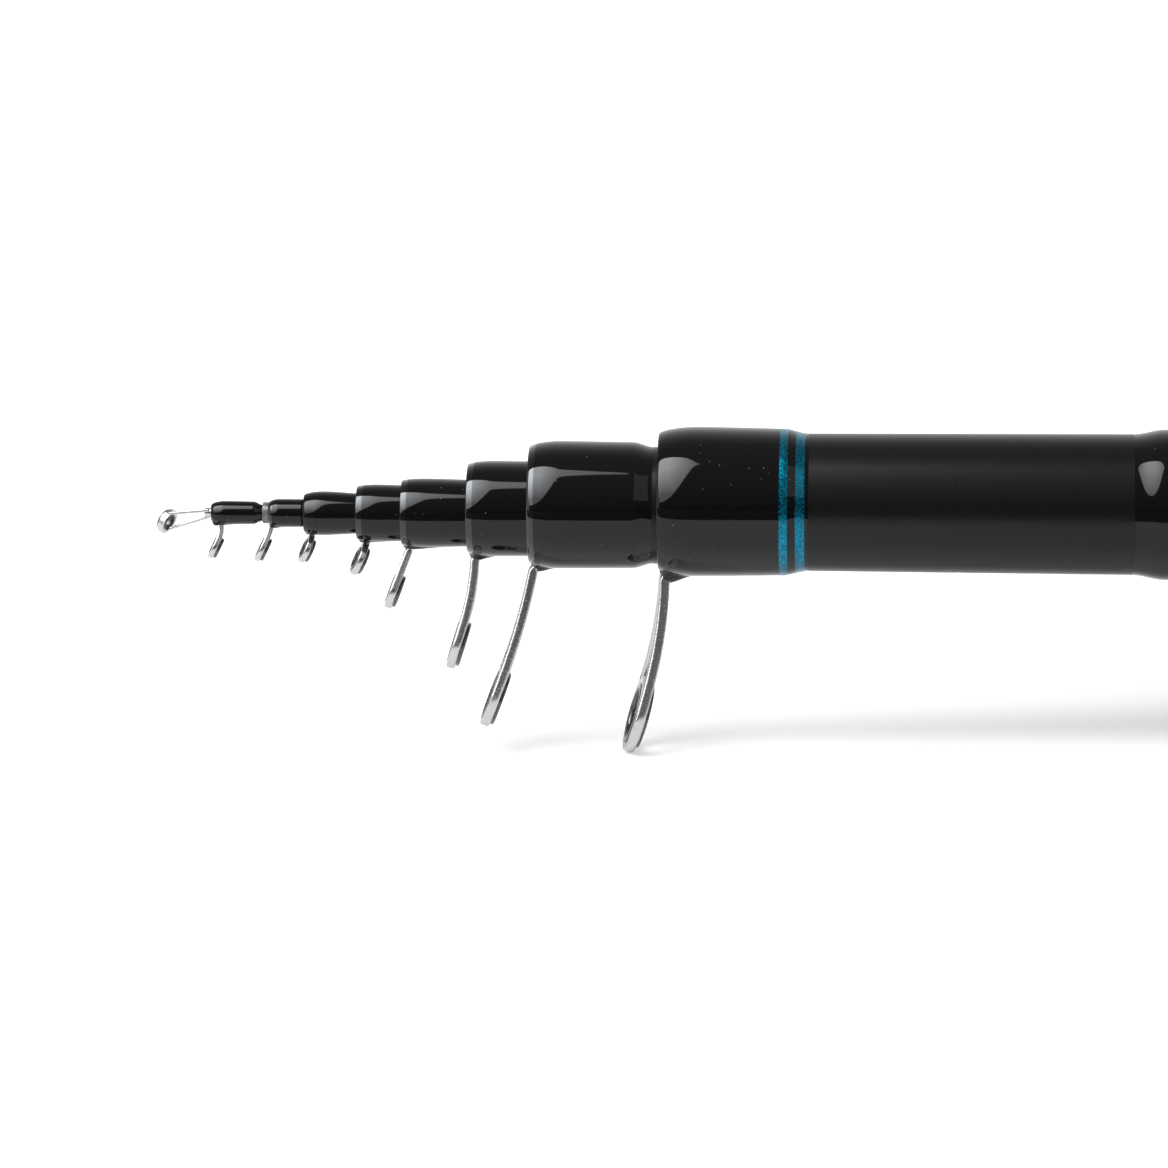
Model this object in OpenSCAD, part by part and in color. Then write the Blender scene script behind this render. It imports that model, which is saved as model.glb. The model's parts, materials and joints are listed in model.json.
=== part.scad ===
// Telescopic fishing rod, closed: seven carbon sections, line guides, plate reel seat, screw butt cap.
// X runs along the rod with the tip at -X, guides hang at -Z, the origin is the middle of the rear face.
// "Station" is the distance ahead of the butt tube's rear end. Sizes are in mm.

/* [Butt section] */
// Length of the butt tube
butt_len = 885; // [700:5:1200]
// Outside diameter of the parallel handle
handle_od = 24; // [20:0.5:32]
// Wall of the handle
handle_wall = 1.1; // [0.8:0.05:2]
// Length of the parallel handle, from the rear end
handle_len = 445; // [420:5:520]

/* [Sections, butt first] */
// Bare tube diameter at each mouth
mouth_od = [20.05, 17.2, 13.1, 9.6, 7.9, 5.45]; // [3:0.05:30]
// Tube wall of each section
tube_wall = [0.75, 0.65, 0.7, 0.45, 0.55, 0.75]; // [0.3:0.05:2]
// Largest diameter of the whipping at each mouth
whip_od = [22, 18.85, 14.1, 10.15, 8.45, 6.5]; // [4:0.05:32]
// Length of the whipping at each mouth
whip_len = [22.2, 18.4, 15, 14, 12, 11]; // [6:0.1:40]
// How far each section from the second on stands out of the one around it when closed
step_out = [19.1, 9.1, 9.8, 6.65, 7.9]; // [3:0.05:30]
// Length of the locking cone inside each mouth
lock_len = [65, 60, 55, 50, 45, 45]; // [30:1:90]
// Growth of the locking cone's diameter per mm of length
lock_taper = 0.006; // [0.002:0.001:0.012]
// Radial play of a locking cone
lock_play = 0.03; // [0.02:0.01:0.08]
// Air left under a section that rests in the mouth around it
rest_gap = 0.05; // [0.03:0.01:0.2]
// Air between the closed sections and the rear pad
stack_gap = 0.3; // [0.2:0.1:2]

/* [Tip section] */
// Diameter of the tip blank at its front end
tip_front_od = 1; // [0.7:0.05:1.6]
// Outside diameter of the tip-top's tube
tip_tube_od = 1.36; // [1.2:0.02:2.4]
// Length of the tip-top's tube
tip_tube_len = 6; // [4:0.5:10]
// How far the tip-top's tube stands out of the front sliding sleeve
tip_tube_out = 1; // [0.5:0.1:3]
// Tip-top ring centre ahead of the tube's front end
tip_ring_ahead = 5.6; // [4:0.1:9]
// Tip-top ring centre below the axis
tip_ring_drop = 1.35; // [0.5:0.05:3]
// Turn of the tip-top's ring about the vertical, in degrees
tip_turn = -24; // [-40:1:40]
// Wire of the tip-top's legs
tip_wire = 0.5; // [0.4:0.05:0.8]
// Place of the upper legs on the tip-top's ring, in degrees from its top
tip_leg_angle = 28; // [15:1:60]
// Place of the upper legs on the tip-top's tube, in degrees from its top
tip_root_angle = 53; // [30:1:80]

/* [Sliding guides on the tip, rear one first] */
// Bore of each sleeve
sleeve_bore = [2.7, 1.75]; // [1.5:0.05:5]
// Outside diameter of each bare sleeve
sleeve_od = [3.2, 2.4]; // [2:0.05:6]
// Largest diameter of each sleeve's whipping
sleeve_whip_od = [4.15, 3.45]; // [2.5:0.05:7]
// Length of each sleeve without its spigot
sleeve_len = [6, 7.6]; // [4:0.1:12]
// Bare front end of each sleeve, ahead of its whipping
sleeve_bare = [0.8, 0]; // [0:0.1:2]
// Spigot of each sleeve that enters the piece behind it
spigot_len = [4, 4]; // [2:0.5:8]
// Air between a sleeve's shoulder and the piece behind it
shoulder_gap = 0.1; // [0.05:0.05:0.5]

/* [Line guides, butt first, the last two on the sleeves] */
// Ring centre below the section's axis
ring_drop = [32, 28.9, 20.2, 11.6, 6.95, 5.4, 5.3, 5.1]; // [3:0.05:45]
// Ring centre ahead of the section's mouth
ring_ahead = [3.15, 5.3, 1.65, 1.3, -0.15, -0.2, 0.2, -0.45]; // [-2:0.05:8]
// Lean of the ring, in degrees
ring_lean = [16, 20.5, 17, 20.5, 25, 25, 26, 26]; // [0:0.5:40]
// Turn of the guide about the vertical, in degrees
guide_turn = [6, 2, 0, 0, 10, 10, 3, 3]; // [-15:1:15]
// Outside radius of the stamped ring frame
frame_r = [5.8, 4.6, 4, 2.9, 2.45, 2.1, 2.1, 1.9]; // [1.5:0.05:10]
// Flange radius of the ring insert
flange_r = [4.85, 4.07, 3.35, 2.42, 2.05, 1.75, 1.78, 1.58]; // [1.2:0.05:9]
// Bore radius of the ring insert
ring_r = [3.6, 3, 2.4, 1.65, 1.35, 1.15, 1.2, 1]; // [0.8:0.05:7]
// Depth of the stamped frame seen from the side
frame_t = [1.6, 1.5, 1.4, 1.2, 1, 0.9, 0.8, 0.8]; // [0.6:0.05:3]
// Width of a frame leg seen from the front
leg_w = [1.3, 1.15, 1, 0.8, 0.7, 0.7, 0.6, 0.6]; // [0.4:0.05:2]
// Width of the foot at the mouth
foot_w = [3.2, 2.6, 2, 1.2, 1.1, 1.1, 0.9, 0.9]; // [0.6:0.1:5]
// Thickness of the foot at the mouth
foot_t = [0.7, 0.6, 0.5, 0.34, 0.3, 0.3, 0.26, 0.26]; // [0.2:0.02:1.2]
// Length of the foot under the whipping
foot_len = [12, 10.5, 9, 7.5, 6.5, 6, 4, 4.8]; // [3:0.1:20]
// Where the leg leaves the foot, behind the mouth
foot_exit = [0.8, 0.5, 0.95, 1, 1.35, 1.17, 1.1, 1.3]; // [0.3:0.05:2]
// Radius of the lacquer bead over the front of the foot
bead_r = [2.3, 1.5, 1.45, 0.8, 0.95, 1.2, 0.8, 0.8]; // [0.5:0.05:4]
// Share of a whipping's length over which it swells at the mouth
whip_swell = 0.2; // [0.1:0.02:0.3]
// Share of a whipping's thickness that is lost along its length
whip_thinning = 0.6; // [0:0.05:0.8]
// Share of a whipping's length over which it feathers out behind
whip_feather = 0.12; // [0.06:0.02:0.3]
// Share of the foot's length where the bead is largest
bead_peak = 0.1; // [0.05:0.01:0.2]
// Share of the foot's length over which the bead falls to half
bead_fade = [0.3, 0.3, 0.3, 0.6, 0.6, 0.6, 0.6, 0.6]; // [0.15:0.05:0.8]
// How far the insert's flange stands proud behind the frame
flange_t = 0.45; // [0.2:0.05:1]
// How far the flange covers the frame around its seat
flange_lap = 0.3; // [0.1:0.05:0.6]
// Air around glued and whipped pieces
glue_gap = 0.02; // [0.01:0.01:0.05]

/* [Trim] */
// Near and far edge of the front trim band, behind the butt mouth
band_front = [17.9, 19.1]; // [10:0.1:21]
// Near and far edge of the rear trim band, behind the butt mouth
band_rear = [20.25, 21.6]; // [10:0.1:22]
// Thickness of the trim bands
band_t = 0.14; // [0.1:0.02:0.4]
// Second whipping on the butt tube, behind the mouth
mid_whip_back = 69.6; // [40:0.1:120]
// Length of the second whipping
mid_whip_len = 24; // [12:1:50]
// Thickness of the second whipping
mid_whip_t = 0.62; // [0.3:0.02:1.2]

/* [Grip and butt cap] */
// Start of the grip sleeve, ahead of the rear end
grip_start = 2; // [1:0.5:20]
// Length of the grip sleeve
grip_len = 240; // [120:5:280]
// Thickness of the grip sleeve
grip_t = 0.8; // [0.5:0.1:3]
// Length of the threaded bush glued into the rear end
bush_len = 18; // [12:1:30]
// Bore of the bush, wide enough to draw the second section out
bush_bore = 19.4; // [17:0.1:24]
// Radial play of the cap's plug in the bush
plug_play = 0.3; // [0.1:0.05:0.5]
// Reach of the cap's plug into the bush
plug_len = 14; // [10:0.5:20]
// Diameter of the cap
cap_od = 25.4; // [24:0.2:36]
// Length of the cap behind the tube
cap_len = 11; // [8:0.5:20]
// Air between the cap and the tube's rear end
cap_gap = 0.6; // [0.4:0.1:1.2]
// Grip notches around the cap
cap_notches = 20; // [8:2:40]
// Depth of each finger notch
notch_deep = 0.4; // [0.2:0.05:0.8]
// Radius that a finger notch is cut with
notch_r = 1.4; // [1:0.1:2]
// Distance of the notches from the cap's edges
notch_margin = 1; // [0.5:0.1:2]
// Rounding of the cap's rear edge
cap_round = 2; // [1:0.1:2.6]
// Small bevel on the cap's other edges
edge_break = 0.3; // [0.1:0.05:0.5]
// Section of the seal ring
seal_d = 1.2; // [1:0.1:2]
// Diameter of the rubber bumper
bumper_od = 20; // [15:0.5:28]
// How far the bumper stands out behind the cap
bumper_out = 2.5; // [1:0.5:6]
// Bevel around the bumper's rear face
bumper_bevel = 1.2; // [0.5:0.1:2]
// Depth of the bumper's recess
bumper_seat = 2; // [1:0.5:4]
// Thickness of the pad in front of the plug
pad_t = 4; // [2:0.5:8]
// How much smaller in radius the pad is than the plug
pad_side = 0.2; // [0.1:0.1:1]
// Diameter of the pad's stud
pad_stud_d = 11; // [6:0.5:14]
// Length of the pad's stud
pad_stud_len = 6; // [3:0.5:10]
// Running play of the pad on the plug
pad_play = 0.05; // [0.03:0.01:0.1]

/* [Reel seat] */
// Middle of the reel seat, ahead of the rear end
seat_station = 362; // [300:1:380]
// Length of the seat plate with its feet
seat_len = 120; // [100:2:150]
// Length of each foot that is whipped down
seat_foot = 18; // [12:1:24]
// Width of the seat plate
seat_w = 16; // [12:0.5:20]
// Plate thickness under the tube
seat_t = 2.6; // [2:0.1:4]
// Width of the feet
seat_foot_w = 8.8; // [6:0.2:12]
// Thickness of a foot at its toe
seat_toe_t = 0.5; // [0.3:0.1:1]
// Length of the flat toe of a foot
seat_toe = 3; // [1:0.5:6]
// Thickness of a foot where it meets the ramp up to the bed
seat_heel_t = 1.4; // [0.8:0.1:2]
// Length of the ramp between a foot and the bed
seat_ramp = 4; // [2:0.5:8]
// Thickness of the whipping over the feet
seat_whip_t = 0.7; // [0.4:0.1:1.5]
// Length of each whipping on the seat's feet
seat_whip_len = 24; // [16:1:36]
// How far each whipping's middle lies outside the foot's middle
seat_whip_out = 1.6; // [0:0.1:4]
// Inside width of the hoods
hood_w = 13; // [10:0.5:18]
// Inside height of the hoods
hood_h = 5.4; // [4.5:0.1:8]
// Wall of the hoods
hood_wall = 1.3; // [0.8:0.1:2.5]
// Depth of the hood pockets
hood_deep = 14; // [10:0.5:20]
// Corner radius of the hoods' outside
hood_round = 3.2; // [1:0.1:3.3]
// Corner radius of the hoods' pockets
pocket_round = 2.6; // [1:0.1:2.6]
// Rake of the hoods' mouths, in degrees
hood_rake = 28; // [10:1:40]
// Inner end of the fixed hood's pocket, behind the seat's middle
fixed_end = 37; // [30:0.5:42]
// Inner end of the sliding hood's pocket, ahead of the seat's middle
slide_end = 34; // [26:0.5:40]
// Top of the guide grooves above the bed
rail_up = 2.6; // [1.8:0.1:3.4]
// Depth of the guide grooves in the plate's edges
rail_deep = 1.2; // [0.8:0.1:2]
// Height of the guide grooves in the plate's edges
rail_h = 1.2; // [0.8:0.1:2]
// Air around the sliding hood's lips
rail_play = 0.08; // [0.05:0.01:0.1]
// Length of the sliding hood's cheeks beside the plate
cheek_len = 11.2; // [8:0.2:14]
// How far the cheeks reach down past the bed
cheek_drop = 2.2; // [1.5:0.1:4]
// Reach of the lugs for the lever's pin
lug_len = 6; // [5:0.5:9]
// Thickness of the lugs
lug_t = 1.6; // [1:0.1:2]
// Length of the lever from its pin
lever_len = 16.5; // [10:0.5:22]
// Width of the lever
lever_w = 9; // [6:0.5:9]
// Radius of the lever's cam
cam_r = 1.6; // [1.4:0.1:2.4]
// Thickness of the lever
lever_t = 2; // [1.2:0.1:3]
// Diameter of the lever's pin
pin_d = 2; // [1.5:0.1:3]
// Running play of the lever on its pin
pin_play = 0.05; // [0.03:0.01:0.1]
// Side air of the lever between its lugs
lever_side = 0.3; // [0.3:0.05:0.6]
// Air under the lever's cam
cam_gap = 0.3; // [0.3:0.05:0.6]

/* [Hidden] */
$fn = 72;
tubes = len(mouth_od);

// Rod stack, in stations
cap_face = -cap_gap;
pad_front = plug_len + pad_play + pad_t;
stack_rear = pad_front + stack_gap;
function sum_to(v, n) = n < 0 ? 0 : v[n] + sum_to(v, n - 1);
function lip(i) = butt_len + sum_to(step_out, i - 1);
function mouth_bore(i) = mouth_od[i] - 2 * tube_wall[i];
function lock_bore(i) = mouth_bore(i) + lock_taper * lock_len[i];
function lock_od(i) = mouth_bore(i - 1) - 2 * lock_play;
function rear_od(i) = lock_od(i) + lock_taper * lock_len[i - 1];
function rear_bore(i) = i == 0 ? handle_od - 2 * handle_wall : rear_od(i) - 2 * tube_wall[i];
sleeve_front = [
    lip(tubes - 1) + shoulder_gap + sleeve_len[0],
    lip(tubes - 1) + 2 * shoulder_gap + sleeve_len[0] + sleeve_len[1]
];
tip_tube_front = sleeve_front[1] + tip_tube_out;
tip_front = tip_tube_front - tip_tube_out / 2;

// A closed section lies on the floor of the mouth around it
function nests(i) = whip_len[i] > step_out[i - 1];
function mouth_room(i) = (mouth_bore(i - 1) - (nests(i) ? whip_od[i] : mouth_od[i])) / 2;
function rear_room(i) = (rear_bore(i - 1) - rear_od(i)) / 2;
function fall(i) = max(0, min(mouth_room(i), rear_room(i)) - rest_gap);
function drop(i) = i < 1 ? 0 : fall(i) + drop(i - 1);
stack_drop = drop(tubes - 1);

// Radius of the bare butt tube at a station
function butt_r(s) = s < handle_len ? handle_od / 2
    : handle_od / 2 + (mouth_od[0] - handle_od) / 2 * (s - handle_len) / (butt_len - handle_len);
function tube_r(i, s) = i == 0 ? butt_r(s)
    : mouth_od[i] / 2 + (lock_od(i) - mouth_od[i]) / 2 * (lip(i) - s)
        / (lip(i) - stack_rear - lock_len[i - 1]);

// Lacquer outline of a whipping: steep round front, slow fall, feathered rear
function quarter_wave(t) = sin(90 * min(1, t));
function rise(t) = pow(quarter_wave(t / whip_swell), 0.6) * pow(quarter_wave((1 - t) / whip_feather), 0.8)
    * (1 - whip_thinning * max(0, t - whip_swell));
rise_at = [0.004, 0.012, 0.03, 0.06, 0.1, 0.15, 0.2, 0.45, 0.7, 0.88, 0.92, 0.95, 0.975, 0.998];
function even_rise(t) = pow(quarter_wave(min(t, 1 - t) / 0.25), 0.8);
even_at = [0.004, 0.02, 0.05, 0.09, 0.15, 0.25, 0.75, 0.85, 0.91, 0.95, 0.98, 0.996];
// Size of the lacquer bead along the foot: quick swell, slow fade
function bead_size(k, u) = sqrt(quarter_wave(u / bead_peak)) / (1 + pow(max(0, u - bead_peak) / bead_fade[k], 2));
bead_at = [0.01, 0.03, 0.06, 0.1, 0.18, 0.28, 0.4, 0.6, 0.8, 1];

// Guide geometry in (ahead, below): the foot lies along the tube, the leg bends down into the ring's plane
function carrier_r(k) = k < tubes ? tube_r(k, lip(k) - foot_len[k]) : sleeve_od[k - tubes] / 2;
function guide_lip(k) = k < tubes ? lip(k) : sleeve_front[k - tubes];
function guide_drop(k) = k < tubes ? drop(k) : stack_drop;
function lean_dir(k) = [sin(ring_lean[k]), cos(ring_lean[k])];
function ring_c(k) = [ring_ahead[k], ring_drop[k]];
function foot_v(k, t) = carrier_r(k) + glue_gap + t / 2;
function bend_r(k) = 0.5 * foot_t[k] + 0.35 * frame_t[k];
function leg_top(k) = [-foot_exit[k], foot_v(k, foot_t[k]) + bend_r(k)];
function leg_end(k) = ring_c(k) - 0.9 * frame_r[k] * lean_dir(k);
function leg_mid(k) = leg_end(k) - 0.5 * norm(leg_end(k) - leg_top(k)) * lean_dir(k);
function bend_mid(k) = let (e = leg_mid(k) - leg_top(k))
    [leg_top(k)[0] - e[0] / max(0.3, e[1]) * bend_r(k), foot_v(k, foot_t[k])];
function curve(a, b, c, t) = (1 - t) * (1 - t) * a + 2 * t * (1 - t) * b + t * t * c;
function guide_path(k) = concat(
    [[-foot_len[k], foot_v(k, foot_t[k] / 3)]],
    [for (t = [0 : 0.25 : 0.75]) curve(bend_mid(k) - [bend_r(k), 0], bend_mid(k), leg_top(k), t)],
    [for (t = [0 : 0.125 : 1]) curve(leg_top(k), leg_mid(k), leg_end(k), t)],
    [ring_c(k) + (frame_r[k] + 1) * lean_dir(k)]
);
function guide_depth(k) = concat(
    [foot_t[k] / 3],
    [for (t = [0 : 0.25 : 0.75]) foot_t[k] + (frame_t[k] - foot_t[k]) * t * t],
    [for (t = [0 : 0.125 : 1]) frame_t[k]],
    [frame_t[k]]
);
function side_of(p, j) = let (
    a = p[max(0, j - 1)], b = p[min(len(p) - 1, j + 1)], d = (b - a) / norm(b - a)) [d[1], -d[0]];
function guide_side(k) = let (p = guide_path(k), d = guide_depth(k), n = len(p)) concat(
    [for (j = [0 : n - 1]) p[j] + side_of(p, j) * d[j] / 2],
    [for (j = [n - 1 : -1 : 0]) p[j] - side_of(p, j) * d[j] / 2]
);
// Front outline in the ring's plane: height of the foot above the ring centre, tangent legs
function foot_up(k) = (leg_top(k) - ring_c(k)) * lean_dir(k);
function tangent(k) = let (q = [foot_w[k] / 2, foot_up(k)], a = atan2(q[1], q[0]) + acos(frame_r[k] / norm(q)))
    frame_r[k] * [cos(a), sin(a)];
function seat_r(k) = flange_r[k] - flange_lap;

// Reel seat, in (x, z) from the seat's middle
seat_bed = -handle_od / 2 - seat_t;
hood_base = seat_bed;
hood_out_w = hood_w + 2 * hood_wall;
hood_bottom = seat_bed - hood_h - hood_wall;
pin_x = -slide_end - hood_wall - lug_len + pin_d;
pin_z = seat_bed - cam_gap - cam_r;
rail_top = seat_bed + rail_up;
bed_half = seat_len / 2 - seat_foot;
// A width that reaches past everything across the rod
across = 2 * handle_od;

// Moves a sub-part drawn in stations so that the rear face of the bumper is at the origin
module placed() {
    translate([cap_face - cap_len - bumper_out, 0, 0]) children();
}

// Revolves a (radius, station) outline about the rod's axis
module turned() {
    rotate([0, -90, 0]) rotate_extrude() children();
}

// Places (ahead, below) outlines: extruded across the rod, ahead to -X and below to -Z
module sideways(w) {
    rotate([90, 0, 180]) mirror([0, 1, 0]) translate([0, 0, -w / 2]) linear_extrude(w) children();
}

// A guide's place at its mouth, turned about the spot where the leg leaves the foot
module at_lip(k) {
    translate([foot_exit[k] - guide_lip(k), 0, -guide_drop(k)]) rotate([0, 0, guide_turn[k]])
        translate([-foot_exit[k], 0, 0]) children();
}

// Ring frame: local Z is the ring's axis toward the butt, local -X up the leg, Y across
module at_ring(k) {
    at_lip(k) translate([-ring_ahead[k], 0, -ring_drop[k]]) rotate([0, 90 + ring_lean[k], 0]) children();
}

module butt_tube() {
    turned() polygon([
        [rear_bore(0) / 2, 0],
        [handle_od / 2, 0],
        [handle_od / 2, handle_len],
        [mouth_od[0] / 2, butt_len],
        [mouth_bore(0) / 2, butt_len],
        [lock_bore(0) / 2, butt_len - lock_len[0]],
        [rear_bore(0) / 2, handle_len]
    ]);
}

module section_tube(i) {
    translate([0, 0, -drop(i)]) turned() polygon([
        [rear_bore(i) / 2, stack_rear],
        [rear_od(i) / 2, stack_rear],
        [lock_od(i) / 2, stack_rear + lock_len[i - 1]],
        [mouth_od[i] / 2, lip(i)],
        [mouth_bore(i) / 2, lip(i)],
        [lock_bore(i) / 2, lip(i) - lock_len[i]]
    ]);
}

module whip_outline(front, length, r_front, r_rear, h) {
    polygon(concat(
        [for (t = rise_at) [r_front + (r_rear - r_front) * t + h * rise(t), front - length * t]],
        [[r_rear, front - length], [r_front, front]]
    ));
}

// Lacquer bead over a guide's foot, fading toward the foot's end
module bead(k, r0) {
    bare = k < tubes ? 0 : sleeve_bare[k - tubes];
    l = foot_len[k] - bare;
    translate([bare - guide_lip(k), 0, -guide_drop(k) - r0]) rotate([0, 90, 0]) rotate_extrude() polygon([
        [0, bead_at[0] * l],
        each [for (u = bead_at) [bead_r[k] * bead_size(k, u), u * l]],
        [0, 1.05 * l]
    ]);
}

module carrier_core(front, length, r_front, r_rear) {
    turned() polygon([
        [0, front + 2],
        [r_front + glue_gap, front + 2],
        [r_front + glue_gap, front],
        [r_rear + glue_gap, front - length],
        [r_rear + glue_gap, front - length - 2],
        [0, front - length - 2]
    ]);
}

module section_whipping(i) {
    front = lip(i);
    r0 = mouth_od[i] / 2;
    r1 = tube_r(i, front - whip_len[i]);
    difference() {
        union() {
            translate([0, 0, -drop(i)]) turned() whip_outline(front, whip_len[i], r0, r1, whip_od[i] / 2 - r0);
            bead(i, r0);
        }
        translate([0, 0, -drop(i)]) carrier_core(front, whip_len[i], r0, r1);
        guide_body(i, glue_gap);
        if (i == 0) {
            band_ring(band_front, glue_gap);
            band_ring(band_rear, glue_gap);
        }
    }
}

function whip_r(d) = let (t = d / whip_len[0], r0 = mouth_od[0] / 2)
    r0 + (tube_r(0, butt_len - whip_len[0]) - r0) * t + (whip_od[0] / 2 - r0) * rise(t);

module band_ring(edges, air) {
    a = edges[0] - air;
    b = edges[1] + air;
    turned() polygon([
        [whip_r(a) - band_t - air, butt_len - a],
        [whip_r(a) + (air > 0 ? 1 : 0), butt_len - a],
        [whip_r(b) + (air > 0 ? 1 : 0), butt_len - b],
        [whip_r(b) - band_t - air, butt_len - b]
    ]);
}

module butt_trim_bands() {
    band_ring(band_front, 0);
    band_ring(band_rear, 0);
}

module butt_mid_whipping() {
    front = butt_len - mid_whip_back;
    r0 = butt_r(front) + glue_gap;
    r1 = butt_r(front - mid_whip_len) + glue_gap;
    turned() polygon(concat(
        [for (t = even_at) [r0 + (r1 - r0) * t + mid_whip_t * even_rise(t), front - mid_whip_len * t]],
        [[r1, front - mid_whip_len], [r0, front]]
    ));
}

// Front outline of a frame: ring, two tangent legs with a gap, foot
module frame_front(k, air) {
    q = tangent(k) + [air, 0];
    top = foot_up(k);
    f = foot_w[k] / 2 + air;
    lift = foot_len[k];
    circle(frame_r[k] + air);
    difference() {
        polygon([[q[1], q[0]], [top, f], [top - lift, f], [top - lift, -f], [top, -f], [q[1], -q[0]]]);
        if (-top - frame_r[k] > 4 * leg_w[k])
            polygon([
                [top + 2.2 * leg_w[k], -0.15 * leg_w[k]],
                [top + 2.2 * leg_w[k], 0.15 * leg_w[k]],
                [q[1], q[0] - leg_w[k]],
                [q[1], leg_w[k] - q[0]]
            ]);
    }
}

// Frame without its ring seat; air grows it for the cut in the whipping
module guide_body(k, air) {
    span = 4 * (frame_r[k] + foot_len[k]);
    intersection() {
        at_lip(k) sideways(2 * frame_r[k] + 2) {
            polygon(guide_side(k));
            if (air > 0)
                for (v = [[air, 0], [-air, 0], [0, air], [0, -air]])
                    translate(v) polygon(guide_side(k));
        }
        at_ring(k) translate([0, 0, -span / 2]) linear_extrude(span) frame_front(k, air);
        at_lip(k) translate([0, 0, -2 * ring_drop[k]]) linear_extrude(2 * ring_drop[k]) polygon([
            [foot_exit[k] + bend_r(k), frame_r[k] + 1],
            [foot_exit[k] + bend_r(k), foot_w[k] / 2 + air],
            [foot_len[k] + air, foot_w[k] * 0.15 + air],
            [foot_len[k] + air, -foot_w[k] * 0.15 - air],
            [foot_exit[k] + bend_r(k), -foot_w[k] / 2 - air],
            [foot_exit[k] + bend_r(k), -frame_r[k] - 1],
            [-ring_ahead[k] - frame_r[k] - 2, -frame_r[k] - 1],
            [-ring_ahead[k] - frame_r[k] - 2, frame_r[k] + 1]
        ]);
    }
}

module guide_frame(k) {
    difference() {
        guide_body(k, 0);
        at_ring(k) cylinder(r = seat_r(k) + glue_gap, h = 3 * frame_t[k], center = true);
    }
}

// Ring insert: a bush through the frame with a flange behind it, rounded bore edges
module ring_insert(outer, flange, bore, depth) {
    ease = min(0.4 * (depth + flange_t), 0.6 * (outer - bore));
    front = -depth / 2 - 0.1;
    rear = depth / 2 + glue_gap + flange_t;
    rotate_extrude() difference() {
        union() {
            translate([bore, front]) square([outer - bore, rear - front]);
            translate([bore, rear - flange_t]) square([flange - bore, flange_t]);
        }
        translate([bore, front]) difference() {
            square(ease);
            translate([ease, ease]) circle(ease);
        }
        translate([bore, rear]) mirror([0, 1]) difference() {
            square(ease);
            translate([ease, ease]) circle(ease);
        }
        translate([flange, rear]) mirror([1, 1]) difference() {
            square(flange_t / 2);
            translate([flange_t / 2, flange_t / 2]) circle(flange_t / 2);
        }
    }
}

module guide_ring(k) {
    at_ring(k) ring_insert(seat_r(k), flange_r[k], ring_r[k], frame_t[k]);
}

module tip_blank() {
    translate([0, 0, -stack_drop]) turned() polygon([
        [0, stack_rear],
        [rear_od(tubes) / 2, stack_rear],
        [lock_od(tubes) / 2, stack_rear + lock_len[tubes - 1]],
        [tip_front_od / 2, tip_front - tip_tube_len],
        [tip_front_od / 2, tip_front],
        [0, tip_front]
    ]);
}

module tip_top_tube() {
    translate([0, 0, -stack_drop]) turned() translate([tip_front_od / 2 + glue_gap, tip_tube_front - tip_tube_len])
        square([(tip_tube_od - tip_front_od) / 2 - glue_gap, tip_tube_len]);
}

// A straight wire between two points, each end a ball
module wire(a, b) {
    d = b - a;
    translate(a) {
        sphere(d = tip_wire);
        rotate([0, acos(d[2] / norm(d)), atan2(d[1], d[0])]) cylinder(d = tip_wire, h = norm(d));
    }
    translate(b) sphere(d = tip_wire);
}

tip_k = 7;
tip_lean = ring_lean[tip_k];

// A point on the tip-top's ring, by the angle from its top
function on_tip_ring(a) = let (
    r = frame_r[tip_k] - tip_wire / 2, x = r * cos(a) * sin(tip_lean), y = r * sin(a))
    [
        x * cos(tip_turn) - y * sin(tip_turn) - tip_ring_ahead,
        x * sin(tip_turn) + y * cos(tip_turn),
        r * cos(a) * cos(tip_lean) - tip_ring_drop
    ];
module at_tip_ring() {
    translate([-tip_tube_front - tip_ring_ahead, 0, -stack_drop - tip_ring_drop])
        rotate([0, 90 + tip_lean, tip_turn]) children();
}

module tip_top_frame() {
    root = tip_tube_od / 2 - 0.1 * tip_wire;
    difference() {
        union() {
            at_tip_ring() cylinder(r = frame_r[tip_k], h = frame_t[tip_k], center = true);
            translate([-tip_tube_front, 0, -stack_drop]) {
                for (s = [-1, 1])
                    wire([tip_wire, s * root * sin(tip_root_angle), root * cos(tip_root_angle)],
                        on_tip_ring(s * tip_leg_angle));
                wire([tip_wire, 0, -root], on_tip_ring(180));
            }
        }
        at_tip_ring() cylinder(r = seat_r(tip_k) + glue_gap, h = 1.6 * frame_t[tip_k], center = true);
        translate([-tip_tube_front - glue_gap, 0, -stack_drop]) rotate([0, 90, 0])
            cylinder(d = tip_tube_od + 2 * glue_gap, h = tip_tube_len);
    }
}

module tip_top_ring() {
    at_tip_ring() mirror([0, 0, 1]) ring_insert(seat_r(tip_k), flange_r[tip_k], ring_r[tip_k], frame_t[tip_k]);
}

module sleeve(j) {
    translate([0, 0, -stack_drop]) turned() translate([sleeve_bore[j] / 2, sleeve_front[j] - sleeve_len[j] - spigot_len[j]])
        square([(sleeve_od[j] - sleeve_bore[j]) / 2, sleeve_len[j] + spigot_len[j]]);
}

module sleeve_whipping(j) {
    r = sleeve_od[j] / 2;
    front = sleeve_front[j] - sleeve_bare[j];
    length = sleeve_len[j] - sleeve_bare[j];
    difference() {
        union() {
            translate([0, 0, -stack_drop]) turned() polygon(concat(
                [for (t = even_at) [r + (sleeve_whip_od[j] / 2 - r) * even_rise(t), front - length * t]],
                [[r, front - length], [r, front]]
            ));
            bead(tubes + j, r);
        }
        translate([0, 0, -stack_drop]) carrier_core(front, length, r, r);
        guide_body(tubes + j, glue_gap);
    }
}

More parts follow.
